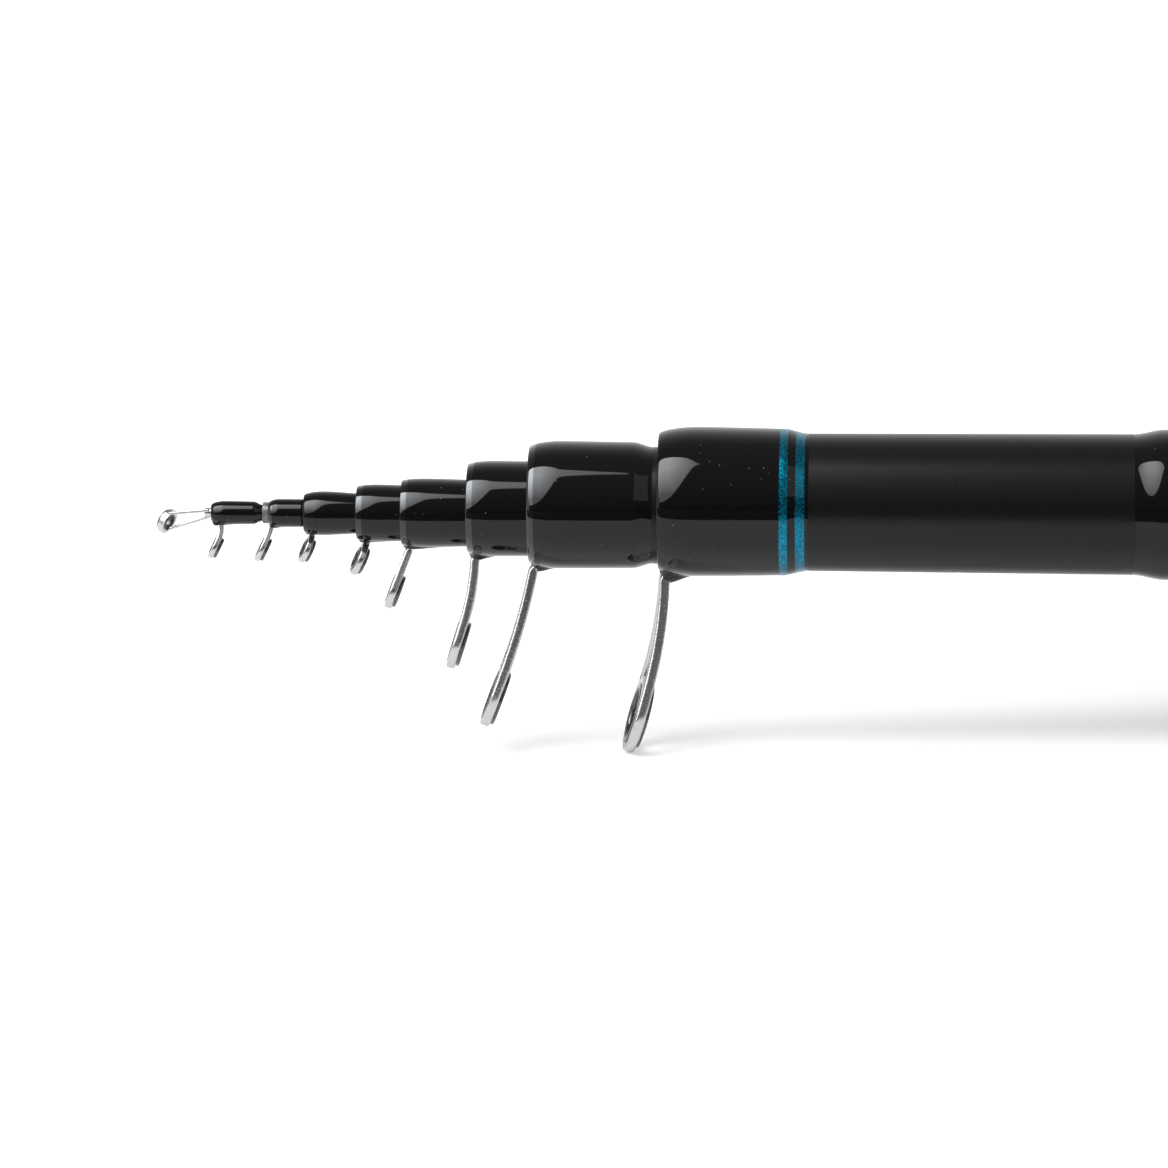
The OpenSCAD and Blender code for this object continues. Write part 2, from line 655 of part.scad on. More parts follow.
module grip_sleeve() {
    r = handle_od / 2 + glue_gap;
    e = grip_t * 0.6;
    turned() polygon([
        [r, grip_start],
        [r + grip_t - e, grip_start],
        [r + grip_t, grip_start + e],
        [r + grip_t, grip_start + grip_len - e],
        [r + grip_t - e, grip_start + grip_len],
        [r, grip_start + grip_len]
    ]);
}

module butt_bush() {
    turned() translate([bush_bore / 2, 0])
        square([rear_bore(0) / 2 - glue_gap - bush_bore / 2, bush_len]);
}

seal_ring_r = handle_od / 2 - handle_wall / 2;
module cap_seal() {
    turned() translate([seal_ring_r, -glue_gap - seal_d / 2]) circle(d = seal_d);
}

module butt_cap() {
    plug_r = bush_bore / 2 - plug_play;
    end = cap_face - cap_len;
    difference() {
        turned() polygon([
            [0, end],
            [cap_od / 2 - cap_round, end],
            each [for (a = [15 : 15 : 75])
                [cap_od / 2 - cap_round * (1 - sin(a)), end + cap_round * (1 - cos(a))]],
            [cap_od / 2, end + cap_round],
            [cap_od / 2, cap_face - edge_break],
            [cap_od / 2 - edge_break, cap_face],
            [plug_r, cap_face],
            [plug_r, plug_len - 2 * edge_break],
            [plug_r - 2 * edge_break, plug_len],
            [0, plug_len]
        ]);
        for (a = [0 : 360 / cap_notches : 359])
            rotate([a, 0, 0]) translate([notch_margin - cap_face, 0, cap_od / 2 + notch_r - notch_deep])
                rotate([0, 90, 0]) cylinder(r = notch_r, h = cap_len - 2 * notch_margin - cap_round);
        turned() translate([0, end - 1]) square([bumper_od / 2 + glue_gap, bumper_seat + 1]);
        turned() translate([0, plug_len - pad_stud_len - 1]) square([pad_stud_d / 2 + pad_play, pad_stud_len + 2]);
        turned() translate([seal_ring_r - seal_d / 2 - glue_gap, cap_face - seal_d + cap_gap - 2 * glue_gap])
            square([seal_d + 2 * glue_gap, seal_d]);
    }
}

module cap_bumper() {
    end = cap_face - cap_len;
    turned() polygon([
        [0, end - bumper_out],
        [bumper_od / 2 - bumper_bevel, end - bumper_out],
        [bumper_od / 2, end - bumper_out + bumper_bevel],
        [bumper_od / 2, end + bumper_seat - glue_gap],
        [0, end + bumper_seat - glue_gap]
    ]);
}

module rear_pad() {
    turned() {
        translate([0, plug_len + pad_play]) square([bush_bore / 2 - plug_play - pad_side, pad_t]);
        translate([0, plug_len - pad_stud_len]) square([pad_stud_d / 2, pad_stud_len + 1]);
    }
}

// Shapes of the reel seat sit about its middle on the rod's axis
module at_seat() {
    translate([-seat_station, 0, 0]) children();
}

// Side outline of the plate: flat bed, ramped feet; air grows it for the whippings
module seat_side(air) {
    half = seat_len / 2;
    toe = -handle_od / 2 - seat_toe_t - air;
    heel = -handle_od / 2 - seat_heel_t - air;
    polygon([
        [-half - air, -handle_od / 4],
        [-half - air, toe],
        [seat_toe - half, toe],
        [-bed_half - seat_ramp, heel],
        [-bed_half, seat_bed - air],
        [bed_half, seat_bed - air],
        [bed_half + seat_ramp, heel],
        [half - seat_toe, toe],
        [half + air, toe],
        [half + air, -handle_od / 4]
    ]);
}

module seat_blank(w, air) {
    difference() {
        rotate([90, 0, 0]) translate([0, 0, -w / 2]) linear_extrude(w) seat_side(air);
        translate([-seat_len, 0, 0]) rotate([0, 90, 0]) cylinder(d = handle_od + 2 * glue_gap, h = 2 * seat_len);
    }
}

module seat_plate() {
    at_seat() difference() {
        intersection() {
            seat_blank(seat_w, 0);
            // The feet are narrower than the bed
            linear_extrude(seat_len, center = true) union() {
                square([2 * bed_half, seat_w], center = true);
                square([seat_len, seat_foot_w], center = true);
            }
        }
        for (s = [-1, 1])
            translate([0, s * seat_w / 2, rail_top - rail_h / 2])
                cube([2 * bed_half + 1, 2 * rail_deep, rail_h], center = true);
    }
}

module seat_whipping(s) {
    mid = s * (seat_len / 2 - seat_foot / 2 + seat_whip_out);
    r = handle_od / 2 + glue_gap;
    at_seat() difference() {
        union() {
            translate([mid, 0, 0]) rotate([0, 90, 0]) rotate_extrude() polygon(concat(
                [for (t = even_at) [r + seat_whip_t * even_rise(t), seat_whip_len * (t - 0.5)]],
                [[r, seat_whip_len / 2], [r, -seat_whip_len / 2]]
            ));
            intersection() {
                seat_blank(seat_foot_w + 2 * seat_whip_t, 0.7 * seat_whip_t);
                translate([mid, 0, 0]) cube([seat_whip_len - 4 * seat_whip_t, across, across], center = true);
            }
        }
        seat_blank(seat_foot_w + 2 * glue_gap, glue_gap);
        translate([mid - seat_whip_len, 0, 0]) rotate([0, 90, 0]) cylinder(r = r, h = 2 * seat_whip_len);
        // The bed itself stays clear of the lacquer
        cube([2 * bed_half + 10 * glue_gap, across, across], center = true);
    }
}

// Arched outline across the rod: a box with round lower corners
module arch(w, h, r) {
    translate([-w / 2, -h + r]) square([w, h - r]);
    translate([-w / 2 + r, -h]) square([w - 2 * r, h]);
    for (s = [-1, 1]) translate([s * (w / 2 - r), -h + r]) circle(r);
}

// Extrudes an outline drawn in (Y, Z) from x0 to x1
module along(x0, x1) {
    translate([x0, 0, 0]) rotate([90, 0, 90]) linear_extrude(x1 - x0) children();
}

// A hood with its pocket open toward +X, inner end at x = 0
module hood() {
    difference() {
        along(-hood_wall, hood_deep) translate([0, hood_base]) arch(hood_out_w, hood_h + hood_wall, hood_round);
        along(0, hood_deep + 1) translate([0, hood_base + 1]) arch(hood_w, hood_h + 1, pocket_round);
        // The mouth is cut back so that a foot can be tipped in
        translate([hood_deep, 0, hood_bottom]) rotate([0, hood_rake, 0])
            translate([0, -across / 2, -hood_h]) cube([hood_deep, across, hood_h + 3]);
    }
}

module fixed_hood() {
    at_seat() translate([fixed_end, 0, -glue_gap]) mirror([1, 0, 0]) hood();
}

module sliding_hood() {
    lift = -rail_play;
    lip_z = rail_top - rail_h + rail_play;
    at_seat() difference() {
        union() {
            translate([-slide_end, 0, lift]) hood();
            for (s = [0, 1]) mirror([0, s, 0]) {
                // Side cheek with its lip in the plate's groove and its shoulder on the hood
                translate([-slide_end - hood_wall, seat_w / 2 + rail_play, hood_base - cheek_drop])
                    cube([cheek_len, hood_wall, rail_top - rail_play - hood_base + cheek_drop]);
                translate([-slide_end - hood_wall, seat_w / 2 - rail_deep + rail_play, lip_z])
                    cube([cheek_len, rail_deep + hood_wall, rail_h - 2 * rail_play]);
                translate([-slide_end - hood_wall, hood_w / 2, hood_base - cheek_drop])
                    cube([cheek_len, seat_w / 2 + rail_play + hood_wall - hood_w / 2, cheek_drop + lift]);
                // Lug for the lever's pin
                translate([pin_x - pin_d, lever_w / 2 + lever_side, pin_z - pin_d])
                    cube([-slide_end - hood_wall / 2 - pin_x + pin_d, lug_t, seat_bed + lift - pin_z + pin_d]);
            }
        }
        translate([pin_x, 0, pin_z]) rotate([90, 0, 0])
            cylinder(d = pin_d + 2 * glue_gap, h = seat_w, center = true);
    }
}

module lever_pin() {
    at_seat() translate([pin_x, 0, pin_z]) rotate([90, 0, 0])
        cylinder(d = pin_d, h = lever_w + 2 * lever_side + 2 * lug_t, center = true);
}

// The lever lies along the plate ahead of its pin and swings down, away from the rod
module lock_lever() {
    tip = lever_len - lever_w / 2;
    at_seat() translate([pin_x, 0, pin_z]) difference() {
        union() {
            rotate([90, 0, 0]) cylinder(r = cam_r, h = lever_w, center = true);
            translate([-tip, -lever_w / 2, -cam_r]) cube([tip, lever_w, lever_t]);
            translate([-tip, 0, -cam_r]) cylinder(d = lever_w, h = lever_t);
        }
        rotate([90, 0, 0]) cylinder(d = pin_d + 2 * pin_play, h = lever_w + 1, center = true);
    }
}

color("#18191b") placed() butt_tube();
color("#0c0c0e") placed() section_whipping(0);  // butt_whipping
color("#0087af") placed() butt_trim_bands();
color("#0c0c0e") placed() butt_mid_whipping();
for (i = [1 : tubes - 1]) {
    color("#18191b") placed() section_tube(i);
    color("#0c0c0e") placed() section_whipping(i);
}
for (k = [0 : 7]) {
    color("#c6c8ca") placed() guide_frame(k);
    color("#3c3e42") placed() guide_ring(k);
}
color("#18191b") placed() tip_blank();
color("#c6c8ca") placed() tip_top_tube();
color("#c6c8ca") placed() tip_top_frame();
color("#3c3e42") placed() tip_top_ring();
color("#9fa3a8") placed() sleeve(0);  // rear_sleeve
color("#0c0c0e") placed() sleeve_whipping(0);  // rear_sleeve_whipping
color("#18191b") placed() sleeve(1);  // front_sleeve
color("#0c0c0e") placed() sleeve_whipping(1);  // front_sleeve_whipping
color("#1c1c1c") placed() grip_sleeve();
color("#8a8d92") placed() butt_bush();
color("#2a2c30") placed() butt_cap();
color("#101010") placed() cap_seal();
color("#141414") placed() cap_bumper();
color("#141414") placed() rear_pad();
color("#2a2c30") placed() seat_plate();
color("#0c0c0e") placed() seat_whipping(-1);  // seat_front_whipping
color("#0c0c0e") placed() seat_whipping(1);  // seat_rear_whipping
color("#c6c8ca") placed() fixed_hood();
color("#c6c8ca") placed() sliding_hood();
color("#2a2c30") placed() lock_lever();
color("#c6c8ca") placed() lever_pin();
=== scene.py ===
# %% [markdown]
# # A closed telescopic fishing rod
# The rod is seven tapering carbon tubes, one inside the other. Each tube ends in a mouth that is
# bound with thread and sealed with gloss lacquer, and a steel line guide hangs from that binding.
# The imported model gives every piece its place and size. This lesson only dresses it: rounder
# surfaces where a reflection would show a facet, and a finish for every piece.

# %% Load the frame
import json
import math

import bmesh
import bpy
from mathutils import Matrix, Vector


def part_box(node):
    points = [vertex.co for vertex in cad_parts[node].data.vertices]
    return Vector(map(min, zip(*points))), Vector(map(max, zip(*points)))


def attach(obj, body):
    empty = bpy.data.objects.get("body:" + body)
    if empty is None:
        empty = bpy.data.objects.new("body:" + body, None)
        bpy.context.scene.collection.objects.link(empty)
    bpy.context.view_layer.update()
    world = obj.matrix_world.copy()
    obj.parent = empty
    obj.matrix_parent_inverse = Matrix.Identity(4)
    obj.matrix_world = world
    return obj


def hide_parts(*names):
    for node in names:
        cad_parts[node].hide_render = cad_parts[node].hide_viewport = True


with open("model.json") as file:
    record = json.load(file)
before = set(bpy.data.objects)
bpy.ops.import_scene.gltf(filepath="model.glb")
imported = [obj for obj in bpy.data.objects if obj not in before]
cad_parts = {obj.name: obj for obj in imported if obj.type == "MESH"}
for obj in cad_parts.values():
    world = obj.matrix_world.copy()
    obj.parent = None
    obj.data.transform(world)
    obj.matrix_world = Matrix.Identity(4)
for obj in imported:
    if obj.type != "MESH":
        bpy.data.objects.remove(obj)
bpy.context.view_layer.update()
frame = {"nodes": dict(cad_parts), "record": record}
record = frame["record"]
MM = 0.001
BODY = {node: body for body, nodes in record["behaviour"]["bodies"].items() for node in nodes}
SLOT = {row["node"]: row["material_slot"] for row in record["subparts"]}

# %% [markdown]
# ## The camera
# The picture is a long-lens side view of the front end, from a little above. Its scale is taken
# from the butt tube's mouth, and the middle of the picture lies a little ahead of that mouth and
# below the rod. A long lens far away keeps the nested tubes nearly parallel.

# %% Place the camera
PICTURE_PX = 1168
FOCAL_PX = 6000
SENSOR = 36.0
CAMERA_DISTANCE = 0.888
CAMERA_ELEVATION = math.radians(10)
CAMERA_AZIMUTH = math.radians(3.2)
CAMERA_ROLL = math.radians(-0.1)
CLIP_NEAR = 0.01
CLIP_FAR = 500
AHEAD_OF_MOUTH = 11.1 * MM
BELOW_AXIS = 12.5 * MM

mouth_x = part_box("butt_tube")[0].x
aim = Vector((mouth_x - AHEAD_OF_MOUTH, 0, -BELOW_AXIS))
back = Matrix.Rotation(CAMERA_AZIMUTH, 3, "Z") @ Vector(
    (0, -math.cos(CAMERA_ELEVATION), math.sin(CAMERA_ELEVATION))
)
camera = bpy.data.objects.new("camera", bpy.data.cameras.new("camera"))
camera.data.sensor_width = SENSOR
camera.data.lens = SENSOR * FOCAL_PX / PICTURE_PX
camera.data.clip_start = CLIP_NEAR
camera.data.clip_end = CLIP_FAR
turn_to_rod = (-back).to_track_quat("-Z", "Y").to_matrix().to_4x4()
rolled = turn_to_rod @ Matrix.Rotation(CAMERA_ROLL, 4, "Z")
camera.matrix_world = Matrix.Translation(aim + back * CAMERA_DISTANCE) @ rolled
bpy.context.scene.collection.objects.link(camera)
bpy.context.scene.camera = camera
bpy.context.scene.view_settings.view_transform = "Standard"
print("lens", round(camera.data.lens, 1), "mm, aimed at", [round(v, 4) for v in aim])

# %% [markdown]
# ## Shader helpers
# A node tree is easier to read when a node, its settings and its fixed inputs stand on one line.
# `add` makes a node that way, and `new_group` makes a node group whose sockets have names.


# %% Node helpers
def add(tree, kind, inputs=None, **settings):
    node = tree.nodes.new(kind)
    for name, value in settings.items():
        setattr(node, name, value)
    for name, value in (inputs or {}).items():
        if isinstance(value, bpy.types.NodeSocket):
            tree.links.new(value, node.inputs[name])
        else:
            node.inputs[name].default_value = value
    return node


def math_node(tree, operation, first, second=0.0):
    return add(tree, "ShaderNodeMath", {0: first, 1: second}, operation=operation).outputs[0]


def new_group(name, inputs, outputs):
    """An empty node group with named value sockets"""
    tree = bpy.data.node_groups.new(name, "ShaderNodeTree")
    for socket, value in inputs.items():
        made = tree.interface.new_socket(socket, in_out="INPUT", socket_type="NodeSocketFloat")
        made.default_value = value
    for socket in outputs:
        tree.interface.new_socket(socket, in_out="OUTPUT", socket_type="NodeSocketFloat")
    return tree, tree.nodes.new("NodeGroupInput").outputs, tree.nodes.new("NodeGroupOutput").inputs


def use_group(tree, group, **values):
    """Places a group in a tree with its own values, and gives back its outputs"""
    node = tree.nodes.new("ShaderNodeGroup")
    node.node_tree = group
    for name, value in values.items():
        node.inputs[name].default_value = value
    return node.outputs


def object_point(tree):
    """The shaded point in the object's own coordinates, which stay with it at every pose"""
    return tree.nodes.new("ShaderNodeTexCoord").outputs["Object"]


# %% [markdown]
# ## Effects that several finishes share
# Dust lies on lacquer and carbon: a few pale specks, a tenth or two of a millimetre wide. A Voronoi
# texture gives each speck its own cell, and a random value per cell keeps only some of them.
# Brushed lacquer and polished steel are never quite flat, so a slow ripple bends reflections.
# Carbon tubes are wound with tape and ground, which leaves fine rings around the tube.
# The grip's skin has ridges wound both ways round the rod, which cross into a net.

# %% Dust
DUST = {"Cells": 260.0, "Share": 0.2, "Speck": 0.03}
dust_group, dust_in, dust_out = new_group("dust specks", DUST, ["Mask"])
cells = add(
    dust_group,
    "ShaderNodeTexVoronoi",
    {"Vector": object_point(dust_group), "Scale": dust_in["Cells"]},
)
chance = add(dust_group, "ShaderNodeSeparateColor", {"Color": cells.outputs["Color"]})
near = math_node(dust_group, "LESS_THAN", cells.outputs["Distance"], dust_in["Speck"])
kept = math_node(dust_group, "LESS_THAN", chance.outputs[0], dust_in["Share"])
dust_group.links.new(math_node(dust_group, "MULTIPLY", near, kept), dust_out["Mask"])
print("dust:", DUST)

# %% Ripple and rings
ripple_group, ripple_in, ripple_out = new_group("slow ripple", {"Waves": 160.0}, ["Height"])
ripple = add(
    ripple_group,
    "ShaderNodeTexNoise",
    {"Vector": object_point(ripple_group), "Scale": ripple_in["Waves"], "Detail": 1.5, "Roughness": 0.4},
)
ripple_group.links.new(ripple.outputs["Fac"], ripple_out["Height"])

ring_group, ring_in, ring_out = new_group("rings round the rod", {"Rings": 900.0}, ["Height"])
along = add(ring_group, "ShaderNodeSeparateXYZ", {"Vector": object_point(ring_group)})
stretched = math_node(ring_group, "MULTIPLY", along.outputs["X"], ring_in["Rings"])
ring_noise = add(
    ring_group,
    "ShaderNodeTexNoise",
    {"W": stretched, "Scale": 1.0, "Detail": 2.0},
    noise_dimensions="1D",
)
ring_group.links.new(ring_noise.outputs["Fac"], ring_out["Height"])
print("ripple and rings:", ripple_group.name, "and", ring_group.name)

# %% Grain and net
grain_group, grain_in, grain_out = new_group("fine grain", {"Grain": 3000.0}, ["Height"])
grain = add(
    grain_group,
    "ShaderNodeTexNoise",
    {"Vector": object_point(grain_group), "Scale": grain_in["Grain"], "Detail": 3.0},
)
grain_group.links.new(grain.outputs["Fac"], grain_out["Height"])

NET_AROUND = 14
NET_ALONG = 480.0
NET = {"Around": NET_AROUND, "Along": NET_ALONG}
cross_group, cross_in, cross_out = new_group("crossing ridges", NET, ["Height"])
at = add(cross_group, "ShaderNodeSeparateXYZ", {"Vector": object_point(cross_group)}).outputs
angle = math_node(cross_group, "ARCTAN2", at["Z"], at["Y"])
turned = math_node(cross_group, "MULTIPLY", angle, cross_in["Around"])
moved = math_node(cross_group, "MULTIPLY", at["X"], cross_in["Along"])
left_wound = math_node(cross_group, "SINE", math_node(cross_group, "ADD", turned, moved))
right_wound = math_node(cross_group, "SINE", math_node(cross_group, "SUBTRACT", turned, moved))
cross_group.links.new(math_node(cross_group, "MAXIMUM", left_wound, right_wound), cross_out["Height"])
print("effects:", [g.name for g in bpy.data.node_groups])


# %% [markdown]
# ## Finishes
# A Principled shader holds each finish. What is the same all over a piece is set on the shader's
# own sockets. What changes over the surface, such as dust or rings, comes from the groups above.


# %% Material helpers
def new_material(name, sockets):
    material = bpy.data.materials.new(name)
    material.use_nodes = True
    tree = material.node_tree
    shader = tree.nodes["Principled BSDF"]
    for socket, value in sockets.items():
        shader.inputs[socket].default_value = value
    return material, tree, shader


def colour_by(tree, shader, mask, plain, marked):
    """Base colour that changes from plain to marked where the mask is 1"""
    mix = add(tree, "ShaderNodeMix", {"Factor": mask}, data_type="RGBA")
    mix.inputs["A"].default_value = (*plain, 1)
    mix.inputs["B"].default_value = (*marked, 1)
    tree.links.new(mix.outputs["Result"], shader.inputs["Base Color"])


def rough_by(tree, shader, value, low, high):
    """Roughness that a 0 to 1 value moves from low to high"""
    spread = add(tree, "ShaderNodeMapRange", {"Value": value, "To Min": low, "To Max": high})
    tree.links.new(spread.outputs[0], shader.inputs["Roughness"])


def bump(tree, shader, height, depth):
    node = add(tree, "ShaderNodeBump", {"Height": height, "Distance": depth, "Strength": 1.0})
    tree.links.new(node.outputs["Normal"], shader.inputs["Normal"])


# %% [markdown]
# The bindings' lacquer is nearly a black mirror. It could be a clear coat over a black base, but
# one gloss layer gives the same mirror and leaves the coat free for the rim in front of the thread,
# where the bare tube shows through clear lacquer. An attribute of the mesh marks that rim. Carbon
# is satin, with rings too fine to model. The trim is metal flake: a Voronoi texture gives every
# flake its own shade.

# %% Lacquer, carbon, trim
RIM = "rim"
FLAKE_CELLS = 5200.0


def lacquer_finish():
    """Clear gloss coat over black thread: almost a black mirror, with a brushed ripple and dust"""
    sockets = {"IOR": 1.42, "Coat IOR": 1.45, "Coat Roughness": 0.03}
    material, tree, shader = new_material("lacquer", sockets)
    dust = use_group(tree, dust_group, Cells=700, Share=0.7, Speck=0.05)["Mask"]
    rim = add(tree, "ShaderNodeAttribute", attribute_name=RIM).outputs["Fac"]
    colour_by(tree, shader, dust, (0.0025, 0.0025, 0.0027), (0.16, 0.16, 0.15))
    tree.links.new(rim, shader.inputs["Coat Weight"])
    rough_by(tree, shader, dust, 0.03, 0.6)
    bump(tree, shader, use_group(tree, ripple_group, Waves=170)["Height"], 0.006 * MM)
    return material


def carbon_finish():
    """Satin black carbon: ground rings round the tube, a soft sheen and a little dust"""
    material, tree, shader = new_material("carbon", {"IOR": 1.38})
    dust = use_group(tree, dust_group, Cells=240, Share=0.1, Speck=0.022)["Mask"]
    rings = use_group(tree, ring_group, Rings=1400)["Height"]
    colour_by(tree, shader, dust, (0.004, 0.004, 0.0043), (0.12, 0.12, 0.12))
    rough_by(tree, shader, rings, 0.27, 0.285)
    bump(tree, shader, rings, 0.0001 * MM)
    return material


def trim_finish():
    """Blue metal-flake band under the gloss coat"""
    sockets = {"Metallic": 1.0, "Coat Weight": 0.35, "Coat Roughness": 0.03}
    material, tree, shader = new_material("trim", sockets)
    flakes = add(tree, "ShaderNodeTexVoronoi", {"Vector": object_point(tree), "Scale": FLAKE_CELLS})
    shade = add(tree, "ShaderNodeSeparateColor", {"Color": flakes.outputs["Color"]}).outputs[0]
    colour_by(tree, shader, shade, (0.0, 0.1, 0.17), (0.002, 0.28, 0.44))
    rough_by(tree, shader, shade, 0.2, 0.34)
    bump(tree, shader, shade, 0.01 * MM)
    return material


# %% [markdown]
# Guides are stainless steel with dark ceramic rings. The sliding guides sit on glass fibre sleeves
# whose clear coat is lumpy. Colour and roughness could each have a texture of their own, but here
# one noise drives both, so that a darker spot is also a smoother one, as on a real surface.

# %% Steel, ceramic, glass fibre
def steel_finish():
    """Tumble-polished stainless steel: bright, with a faint grain and a soft ripple"""
    material, tree, shader = new_material("steel", {"Metallic": 1.0})
    grain_height = use_group(tree, grain_group, Grain=2600)["Height"]
    colour_by(tree, shader, grain_height, (0.56, 0.555, 0.545), (0.66, 0.66, 0.65))
    rough_by(tree, shader, grain_height, 0.22, 0.3)
    bump(tree, shader, use_group(tree, ripple_group, Waves=500)["Height"], 0.002 * MM)
    return material


def ceramic_finish():
    """Polished dark ceramic of the ring inserts"""
    material, tree, shader = new_material("ceramic", {"IOR": 1.9})
    fine = use_group(tree, grain_group, Grain=5200)["Height"]
    colour_by(tree, shader, fine, (0.02, 0.02, 0.022), (0.05, 0.05, 0.054))
    rough_by(tree, shader, fine, 0.08, 0.18)
    return material


def glass_fibre_finish():
    """Grey glass fibre sleeve under a lumpy clear coat"""
    material, tree, shader = new_material("glass_fibre", {"IOR": 1.5, "Coat Weight": 1.0})
    lumps = use_group(tree, ripple_group, Waves=2600)["Height"]
    colour_by(tree, shader, lumps, (0.02, 0.02, 0.021), (0.2, 0.2, 0.205))
    rough_by(tree, shader, lumps, 0.12, 0.3)
    bump(tree, shader, lumps, 0.08 * MM)
    return material


# %% [markdown]
# The handle has matt rubber, a rubber skin with a net of ridges, anodised alloy with lathe marks,
# and moulded nylon. Their grain could be modelled, but it is finer than half a millimetre, so bump
# is enough. Only the grip's net is large enough to be cut into the mesh, further below.

# %% Rubber, alloy, nylon
def rubber_finish():
    """Matt black rubber with a fine grain"""
    material, tree, shader = new_material("rubber", {"IOR": 1.5})
    rough = use_group(tree, grain_group, Grain=2600)["Height"]
    colour_by(tree, shader, rough, (0.012, 0.012, 0.0125), (0.03, 0.03, 0.03))
    rough_by(tree, shader, rough, 0.55, 0.8)
    bump(tree, shader, rough, 0.05 * MM)
    return material


def grip_finish():
    """Shrunk rubber skin with a net of ridges, worn a little smoother on their tops"""
    material, tree, shader = new_material("grip_rubber", {"IOR": 1.5})
    net = use_group(tree, cross_group)["Height"]
    colour_by(tree, shader, net, (0.01, 0.01, 0.0105), (0.022, 0.022, 0.022))
    rough_by(tree, shader, net, 0.62, 0.42)
    grain_height = use_group(tree, grain_group, Grain=2600)["Height"]
    bump(tree, shader, grain_height, 0.02 * MM)
    return material


def alloy_finish():
    """Dark anodised aluminium with lathe marks"""
    material, tree, shader = new_material("alloy", {"Metallic": 1.0})
    marks = use_group(tree, ring_group, Rings=5200)["Height"]
    colour_by(tree, shader, marks, (0.085, 0.087, 0.095), (0.15, 0.152, 0.16))
    rough_by(tree, shader, marks, 0.24, 0.4)
    bump(tree, shader, marks, 0.006 * MM)
    return material


def nylon_finish():
    """Moulded glass-filled nylon: matt black with a spark-eroded skin"""
    material, tree, shader = new_material("nylon", {"IOR": 1.5})
    skin = use_group(tree, grain_group, Grain=2400)["Height"]
    colour_by(tree, shader, skin, (0.014, 0.014, 0.015), (0.026, 0.026, 0.027))
    rough_by(tree, shader, skin, 0.38, 0.56)
    bump(tree, shader, skin, 0.03 * MM)
    return material


# %% [markdown]
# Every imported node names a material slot, and takes the finish of that slot. A piece that is made
# again below takes over the finish of the node it stands for.

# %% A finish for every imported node
FINISH = {
    "carbon": carbon_finish(),
    "lacquer": lacquer_finish(),
    "trim": trim_finish(),
    "steel": steel_finish(),
    "ceramic": ceramic_finish(),
    "glass_fibre": glass_fibre_finish(),
    "grip_rubber": grip_finish(),
    "rubber": rubber_finish(),
    "alloy": alloy_finish(),
    "nylon": nylon_finish(),
}
for node, piece in frame["nodes"].items():
    piece.data.materials.clear()
    piece.data.materials.append(FINISH[SLOT[node]])
print("finishes:", sorted(FINISH))

# %% [markdown]
# ## Turned pieces
# A tube, a sleeve or a lacquered binding is a body of revolution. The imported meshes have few
# sides, which a gloss finish would show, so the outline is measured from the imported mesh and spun
# again with many more steps. `bmesh.ops.spin` does that in one call.


# %% New piece
WELD = 0.0005 * MM


def new_piece(name, bm, node, sharp=40):
    """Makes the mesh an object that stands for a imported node"""
    bmesh.ops.remove_doubles(bm, verts=bm.verts, dist=WELD)
    bmesh.ops.recalc_face_normals(bm, faces=bm.faces)
    mesh = bpy.data.meshes.new(name)
    bm.to_mesh(mesh)
    bm.free()
    mesh.shade_smooth()
    mesh.set_sharp_from_angle(angle=math.radians(sharp))
    mesh.materials.append(FINISH[SLOT[node]])
    piece = bpy.data.objects.new(name, mesh)
    bpy.context.scene.collection.objects.link(piece)
    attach(piece, BODY[node])
    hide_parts(node)
    return piece


# %% Turning tools
SPIN_STEPS = 192
WALL_FACING = 0.5
TO_MICRON = 6


def spun(outline, axis_z, steps=SPIN_STEPS):
    """Spins a closed outline of (x, radius) points about the rod's line at height axis_z"""
    bm = bmesh.new()
    ring = [bm.verts.new((x, 0, axis_z + radius)) for x, radius in outline]
    edges = [bm.edges.new((ring[i - 1], ring[i])) for i in range(len(ring))]
    bmesh.ops.spin(
        bm,
        geom=ring + edges,
        cent=(0, 0, axis_z),
        axis=(1, 0, 0),
        angle=math.tau,
        steps=steps,
        use_merge=True,
    )
    return bm


def walls(node):
    """Outer and inner outline of a turned node as {x: radius}, and the height of its axis"""
    low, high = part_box(node)
    axis_z = (low.z + high.z) / 2
    mesh = frame["nodes"][node].data
    outer, inner = {}, {}
    for face in mesh.polygons:
        outward = Vector((0, face.center.y, face.center.z - axis_z)).normalized().dot(face.normal)
        if abs(outward) > WALL_FACING:
            wall = outer if outward > 0 else inner
            for index in face.vertices:
                point = mesh.vertices[index].co
                wall[round(point.x, TO_MICRON)] = math.hypot(point.y, point.z - axis_z)
    return sorted(outer.items()), sorted(inner.items()), axis_z


def radius_at(wall, x):
    """Radius of a wall at x, between the measured rings"""
    for (x0, r0), (x1, r1) in zip(wall, wall[1:]):
        if x0 <= x <= x1:
            return r0 + (r1 - r0) * (x - x0) / (x1 - x0)
    return wall[0][1] if x < wall[0][0] else wall[-1][1]


def soft_step(share):
    """Rises from 0 to 1 with no slope at either end"""
    share = min(1.0, max(0.0, share))
    return share * share * (3 - 2 * share)


# %% Spin the blanks and sleeves
TUBES = ["butt_tube"] + [f"section_{i}_tube" for i in range(2, 7)]
WALL = {}
for node in [*TUBES, "tip_blank", "rear_sleeve", "front_sleeve", "tip_top_tube"]:
    outer, inner, axis_z = walls(node)
    WALL[node] = outer, axis_z
    outline = outer + (inner[::-1] or [(outer[-1][0], 0.0), (outer[0][0], 0.0)])
    new_piece(node + "_turned", spun(outline, axis_z), node)
    print(node, "mouth radius", round(outer[0][1] / MM, 3), "mm, axis", round(axis_z / MM, 3), "mm")

